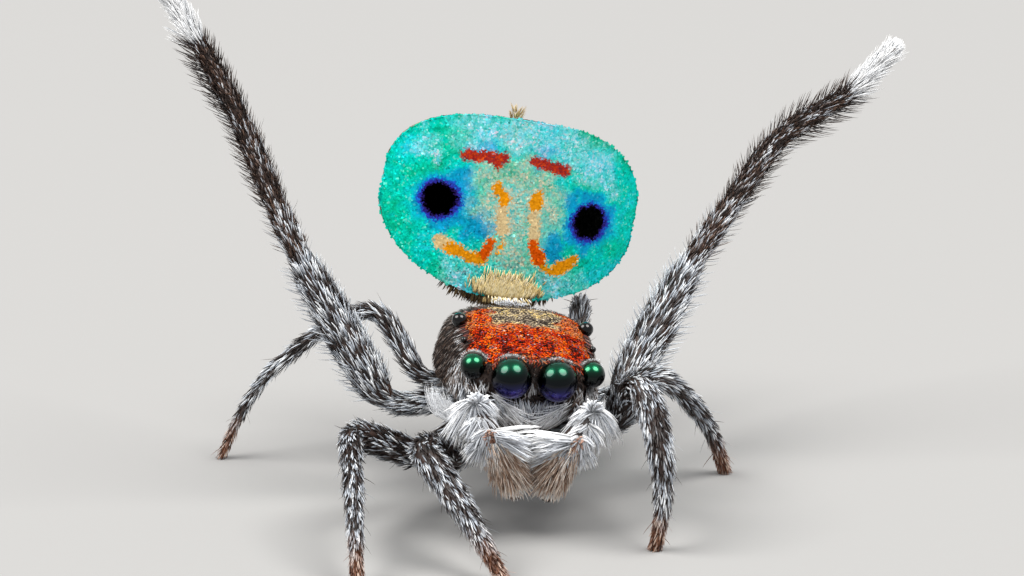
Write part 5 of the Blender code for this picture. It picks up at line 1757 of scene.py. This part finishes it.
@dataclass
class FanCoat:
    """The scales of the fan, the hair at its foot and the down of its back."""

    dresser: Dresser
    fan: Fan
    scale_length: float = 0.029
    scale_width: float = 0.027
    places: int = 52000
    down_share: float = 0.23
    tuft_count: int = 120
    tuft_place: tuple = (-0.16, 0.13, 0.96)

    def spots(self, local: np.ndarray) -> np.ndarray:
        """Places on the unwrapped fan: its front below, its back above."""
        behind = self.fan.behind(local) > 0.5
        across = 0.5 + local[:, 0] / 3.2
        return stacked(across, 0.25 + local[:, 2] * 0.22 + np.where(behind, 0.5, 0.0))

    def build(self, skin: bpy.types.Object) -> None:
        """Grow and finish the coat of the fan."""
        points, normals = scatter(skin, self.places, 101)
        local = FAN.into(points)
        front = self.fan.behind(local) < 0.5
        material = FanFinish("fan_scale").material(self.dresser.groups)
        for name, half in (("fan_scales_right", local[:, 0] < 0), ("fan_scales_left", local[:, 0] >= 0)):
            pick = front & half
            self.scales(name, material, points[pick], normals[pick], local[pick])
        self.down(points[~front], normals[~front], local[~front])
        self.foot()

    def scales(self, name: str, material: bpy.types.Material, points: np.ndarray, normals: np.ndarray,
               local: np.ndarray) -> None:
        """Iridescent scales over one half of the front."""
        draw = self.dresser.field(len(points), 102)
        angle = (draw[0] - 0.5) * 5.4
        flow = level_with(FAN.aim(stacked(np.sin(angle), 0.0, np.cos(angle))), normals)
        lift = 0.02 + 0.07 * draw[1]
        first, second = Markings.fan(points)
        coat = Coat(name, Strand.SCALE, 0.08, 0.13)
        size = 0.8 + 0.45 * draw[2]
        tones = np.clip(0.14 + 0.72 * draw[3] + (mottle(points, 0.045, 9.0) - 0.5), 0, 1)
        coat.grow(points + normals * 0.001, flow + normals * lift[:, None], normals,
                  self.scale_length * size, self.scale_width * size, normals * -0.01, tones, first,
                  self.spots(local))
        obj = coat.finish(material, "fan_scales")
        set_attribute(obj.data, "marks_more", np.repeat(second, coat.per_tuft, axis=0))

    def down(self, points: np.ndarray, normals: np.ndarray, local: np.ndarray) -> None:
        """Short hair over the back and the edge."""
        thin = self.dresser.field(len(points), 103)[0] < self.down_share
        points, normals, local = points[thin], normals[thin], local[thin]
        count = len(points)
        draw = self.dresser.field(count, 104)
        flow = level_with(FAN.aim(stacked(local[:, 0] * -0.5, 0.0, 0.5 - 0.8 * local[:, 2])), normals)
        bulge = step(local[:, 1], 0.18, 0.4)
        coat = Coat("abdomen_down", Strand.HAIR)
        tones = np.clip(0.42 - 0.1 * bulge + (mottle(points, 0.25, 11.0) - 0.5) * 1.5
                        + (draw[0] - 0.5) * 0.5, 0, 1)
        rim = step(np.abs(local[:, 0]), 1.25, 1.40)
        level = local[:, 2] + self.fan.droop * np.maximum(local[:, 0] - self.fan.body_half_width, 0.0)
        over = self.fan.reach(local[:, 0], True) - level
        under = self.fan.reach(local[:, 0], False) + level + 2.0 * (np.abs(local[:, 0]) < 0.5)
        rim = np.maximum(rim, 1 - step(np.minimum(over, under), 0.03, 0.09))
        lift = (0.12 + 0.3 * draw[1]) * (1 - 0.9 * rim)
        coat.grow(points, flow + normals * lift[:, None], normals,
                  (0.06 + 0.08 * bulge - 0.03 * rim) * (0.8 + 0.6 * draw[2]), 0.017 + 0.007 * draw[3],
                  normals * -0.15, tones, np.zeros((count, 3)), self.spots(local))
        brown = HairFinish("abdomen_hair", (
            (0.0, "1a100b"), (0.35, "4a3326"), (0.6, "8c7159"), (0.85, "cbb89c"), (1.0, "efe6d6")), 0.5)
        coat.finish(brown.material(self.dresser.groups), "abdomen_hair")

    def foot(self) -> None:
        """The cream hair over the fan's foot, the brown hair under it, a white tuft whose white is partly a
        painted highlight, and the spinnerets' tufts.
        """
        cream = HairFinish("fan_foot_hair", (
            (0.0, "2a1a12"), (0.3, "7a5f40"), (0.55, "cdb178"), (0.80, "f4dc9c"), (0.93, "fdf0cc"),
            (1.0, "f4f6fa")), 0.55, 0.30, 0.2)
        coat = Coat("fan_foot_hair", Strand.LONG)
        # middle and spread across, first and last height, heading, length, tone, hairs, depth
        rows = (
            ((0.09, 0.18), (-0.74, -0.96), (0.0, -0.24, 1.0), 0.10, 0.68, 620, -0.006),
            ((0.07, 0.25), (-0.84, -1.00), (0.0, -0.30, 1.0), 0.09, 0.66, 900, -0.006),
            ((0.08, 0.18), (-0.94, -1.02), (0.0, -0.45, -1.0), 0.07, 0.36, 380, 0.01),
            ((0.00, 0.38), (-0.90, -1.02), (0.0, -0.30, -1.0), 0.10, 0.16, 640, 0.08),
            ((0.02, 0.34), (-0.96, -1.04), (0.0, 0.10, -1.0), 0.13, 0.08, 640, 0.16),
            # the last row is a short white tuft; its near-white tone is partly a painted highlight of a
            # shiny crescent
            ((0.12, 0.14), (-0.97, -1.03), (0.15, -0.70, -0.45), 0.065, 0.98, 420, -0.02),
        )
        for number, (across, heights, heading, length, tone, count, depth) in enumerate(rows):
            draw = self.dresser.field(count, 110 + number)
            more = self.dresser.field(count, 160 + number)
            x = across[0] + across[1] * 1.3 * (draw[0] + more[0] + more[1] - 1.5)
            z = heights[0] + (heights[1] - heights[0]) * np.sqrt(draw[1]) + 0.10 * (x / 0.6) ** 2
            local = self.fan.surface(x, z, depth)
            aside = stacked(x * 0.5 + (draw[2] - 0.5) * 0.6, 0.0, 0.0)
            coat.grow(FAN.out(local), FAN.aim(aside + heading),
                      FAN.aim(np.tile([0.0, -1.0, 0.2], (count, 1))), length * (0.7 + 0.5 * draw[3]),
                      0.012 + 0.005 * draw[2], FAN.aim(np.tile([0.0, 0.25, 0.0], (count, 1))),
                      np.clip(tone + (draw[3] - 0.5) * 0.5, 0, 1), np.zeros((count, 3)), self.spots(local))
        count = self.tuft_count
        draw = self.dresser.field(count, 130)
        angle = 2 * math.pi * draw[0]
        radial = stacked(np.cos(angle), np.sin(angle), 0.0)
        rise = np.array([0.0, 0.0, 1.0]) * (0.12 * draw[1])[:, None]
        local = np.array(self.tuft_place) + radial * 0.05 + rise
        coat.grow(FAN.out(local), FAN.aim(radial * 0.5 + (0.0, 0.0, 1.0)), FAN.aim(radial),
                  0.09 * (0.6 + 0.6 * draw[2]), np.full(count, 0.007), FAN.aim(radial * 0.1),
                  np.clip(0.35 + 0.35 * draw[3], 0, 1), np.zeros((count, 3)), self.spots(local))
        coat.finish(cream.material(self.dresser.groups), "abdomen_hair")


# Putting it together


def build_body(head: Head, eyes: Eyes, limbs: dict[str, Limb], groups: Groups) -> bpy.types.Object:
    """Join the head, the limbs and the underside into one skin.

    Args:
        head: the head.
        eyes: the eyes, for the rims round them.
        limbs: the legs and palps.
        groups: the shared effects.

    Returns:
        The carapace alone, in millimetres, for the coat to grow on.
    """
    shell = head.shell()
    ground = add_object("ground", shell.data.copy())
    skin = join([shell, *head.rims(eyes), *head.underside(), *(limb.tube() for limb in limbs.values())],
                "body_skin")
    apply_modifier(skin, "REMESH", mode="VOXEL", voxel_size=VOXEL)
    apply_modifier(skin, "SMOOTH", factor=0.5, iterations=4)
    points = coordinates(skin.data)
    marks = Markings.body(points)
    for _, _, centre, radius, _ in eyes.all():
        marks[np.linalg.norm(points - centre, axis=1) < radius + 0.05, 0] = 0.0
    set_attribute(skin.data, "marks", marks)
    flesh = tuple(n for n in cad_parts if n.startswith(("leg_", "palp_", "chelicera")))
    finish_piece(skin, SkinFinish("cuticle").material(groups),
                 ("carapace", "sternum", "pedicel", *flesh))
    return ground


def build_fan(fan: Fan, dresser: Dresser) -> None:
    """Make the fan's skin and its coat."""
    skin = fan.skin()
    FanCoat(dresser, fan).build(skin)
    points = coordinates(skin.data)
    first, second = Markings.fan(points)
    behind = fan.behind(FAN.into(points))
    set_attribute(skin.data, "behind", behind)
    set_attribute(skin.data, "marks", first)
    set_attribute(skin.data, "marks_more", second)
    tones = np.clip(0.25 + 0.5 * mottle(points, 0.05, 12.0), 0, 1) * (1 - 0.6 * behind)
    set_attribute(skin.data, "tone", tones)
    finish_piece(skin, FanFinish("fan_membrane", 0.5, 0.1).material(dresser.groups),
                 ("abdomen", "fan_flap_left", "fan_flap_right", "spinnerets"))


@dataclass
class Studio:
    """The floor, the lights and the camera at the photo's angle."""

    azimuth: float = -9.5
    elevation: float = 20.0
    distance: float = 75.0
    pixels_per_mm: float = 93.0
    eyes_pixel: tuple = (534.5, 380.0)
    image: tuple = (1024, 576)
    sensor: float = 36.0
    light_distance: float = 260.0
    light_target: tuple = (0.0, 0.0, 2.5)
    box_size: float = 170.0
    box_watts: float = 0.80
    box_colour: tuple = (1.0, 0.99, 0.97)
    floor_colour: tuple = (0.30, 0.295, 0.288, 1.0)
    sky_colour: tuple = (0.86, 0.88, 0.92, 1.0)
    sky_strength: float = 0.62

    def axes(self) -> tuple[Vector, Vector, Vector]:
        """Right, up and back of the camera."""
        a, e = math.radians(self.azimuth), math.radians(self.elevation)
        back = Vector((math.sin(a) * math.cos(e), -math.cos(a) * math.cos(e), math.sin(e)))
        right = Vector((math.cos(a), math.sin(a), 0.0))
        return right, back.cross(right), back

    def camera(self) -> None:
        """Place the camera so that the eyes fall where the photo has them."""
        right, up, back = self.axes()
        eyes = Vector(HEAD.origin)
        aside = (self.eyes_pixel[0] - self.image[0] / 2) / self.pixels_per_mm
        below = (self.eyes_pixel[1] - self.image[1] / 2) / self.pixels_per_mm
        place = eyes + back * self.distance - right * aside + up * below
        data = bpy.data.cameras.new("camera")
        data.sensor_width = self.sensor
        data.lens = self.sensor * self.pixels_per_mm * self.distance / self.image[0]
        data.clip_start = 0.001
        data.clip_end = 10.0
        camera = add_object("camera", data)
        turned = Matrix((right, up, back)).transposed().to_4x4()
        camera.matrix_world = Matrix.Translation(place * MM) @ turned
        bpy.context.scene.camera = camera

    def light(self, name: str, direction: tuple) -> None:
        """A soft box that looks at the spider from a direction in the camera's axes."""
        right, up, back = self.axes()
        aim = (right * direction[0] + up * direction[1] + back * direction[2]).normalized()
        data = bpy.data.lights.new(name, "AREA")
        data.shape = "DISK"
        data.size = self.box_size * MM
        data.energy = self.box_watts
        data.color = self.box_colour
        obj = add_object(name, data)
        obj.location = (Vector(self.light_target) + aim * self.light_distance) * MM
        obj.rotation_mode = "QUATERNION"
        obj.rotation_quaternion = aim.to_track_quat("Z", "Y")

    def build(self) -> None:
        """Make the floor, the lights and the camera."""
        clear_selection()
        bpy.ops.mesh.primitive_plane_add(size=4.0)
        floor = bpy.context.object
        floor.name = "studio_floor"
        material, graph, shader = new_material("studio_floor")
        graph.fill(shader, {"Base Color": self.floor_colour, "Roughness": 0.9})
        floor.data.materials.append(material)
        self.light("left_box", (-0.60, 0.73, 0.38))
        self.light("right_box", (0.46, 0.82, 0.40))
        world = bpy.data.worlds.new("studio")
        world.use_nodes = True
        sky = Graph(world.node_tree)
        sky.fill(world.node_tree.nodes["Background"],
                 {"Color": self.sky_colour, "Strength": self.sky_strength})
        bpy.context.scene.world = world
        bpy.context.scene.view_settings.view_transform = "Standard"
        self.camera()


def main() -> None:
    """Build the spider piece by piece, then the studio."""
    logging.basicConfig(level=logging.INFO, format="%(message)s")
    groups = Groups()
    dresser = Dresser(groups)
    eyes = Eyes()
    eyes.build()
    limbs = {name: leg.limb(name, strip) for strip, (name, leg) in enumerate(LEGS.items())}
    limbs["palp_right"] = Palp(-1).limb()
    limbs["palp_left"] = Palp(1).limb()
    shell = build_body(Head(), eyes, limbs, groups)
    HeadCoat(dresser, eyes).build(shell)
    bpy.data.objects.remove(shell)
    PalpCoat(dresser).build(limbs)
    LegCoat(dresser).build(limbs)
    build_fan(Fan(), dresser)
    Studio().build()
    LOG.info("frame has %d nodes", len(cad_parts))


if __name__ == "__main__":
    main()
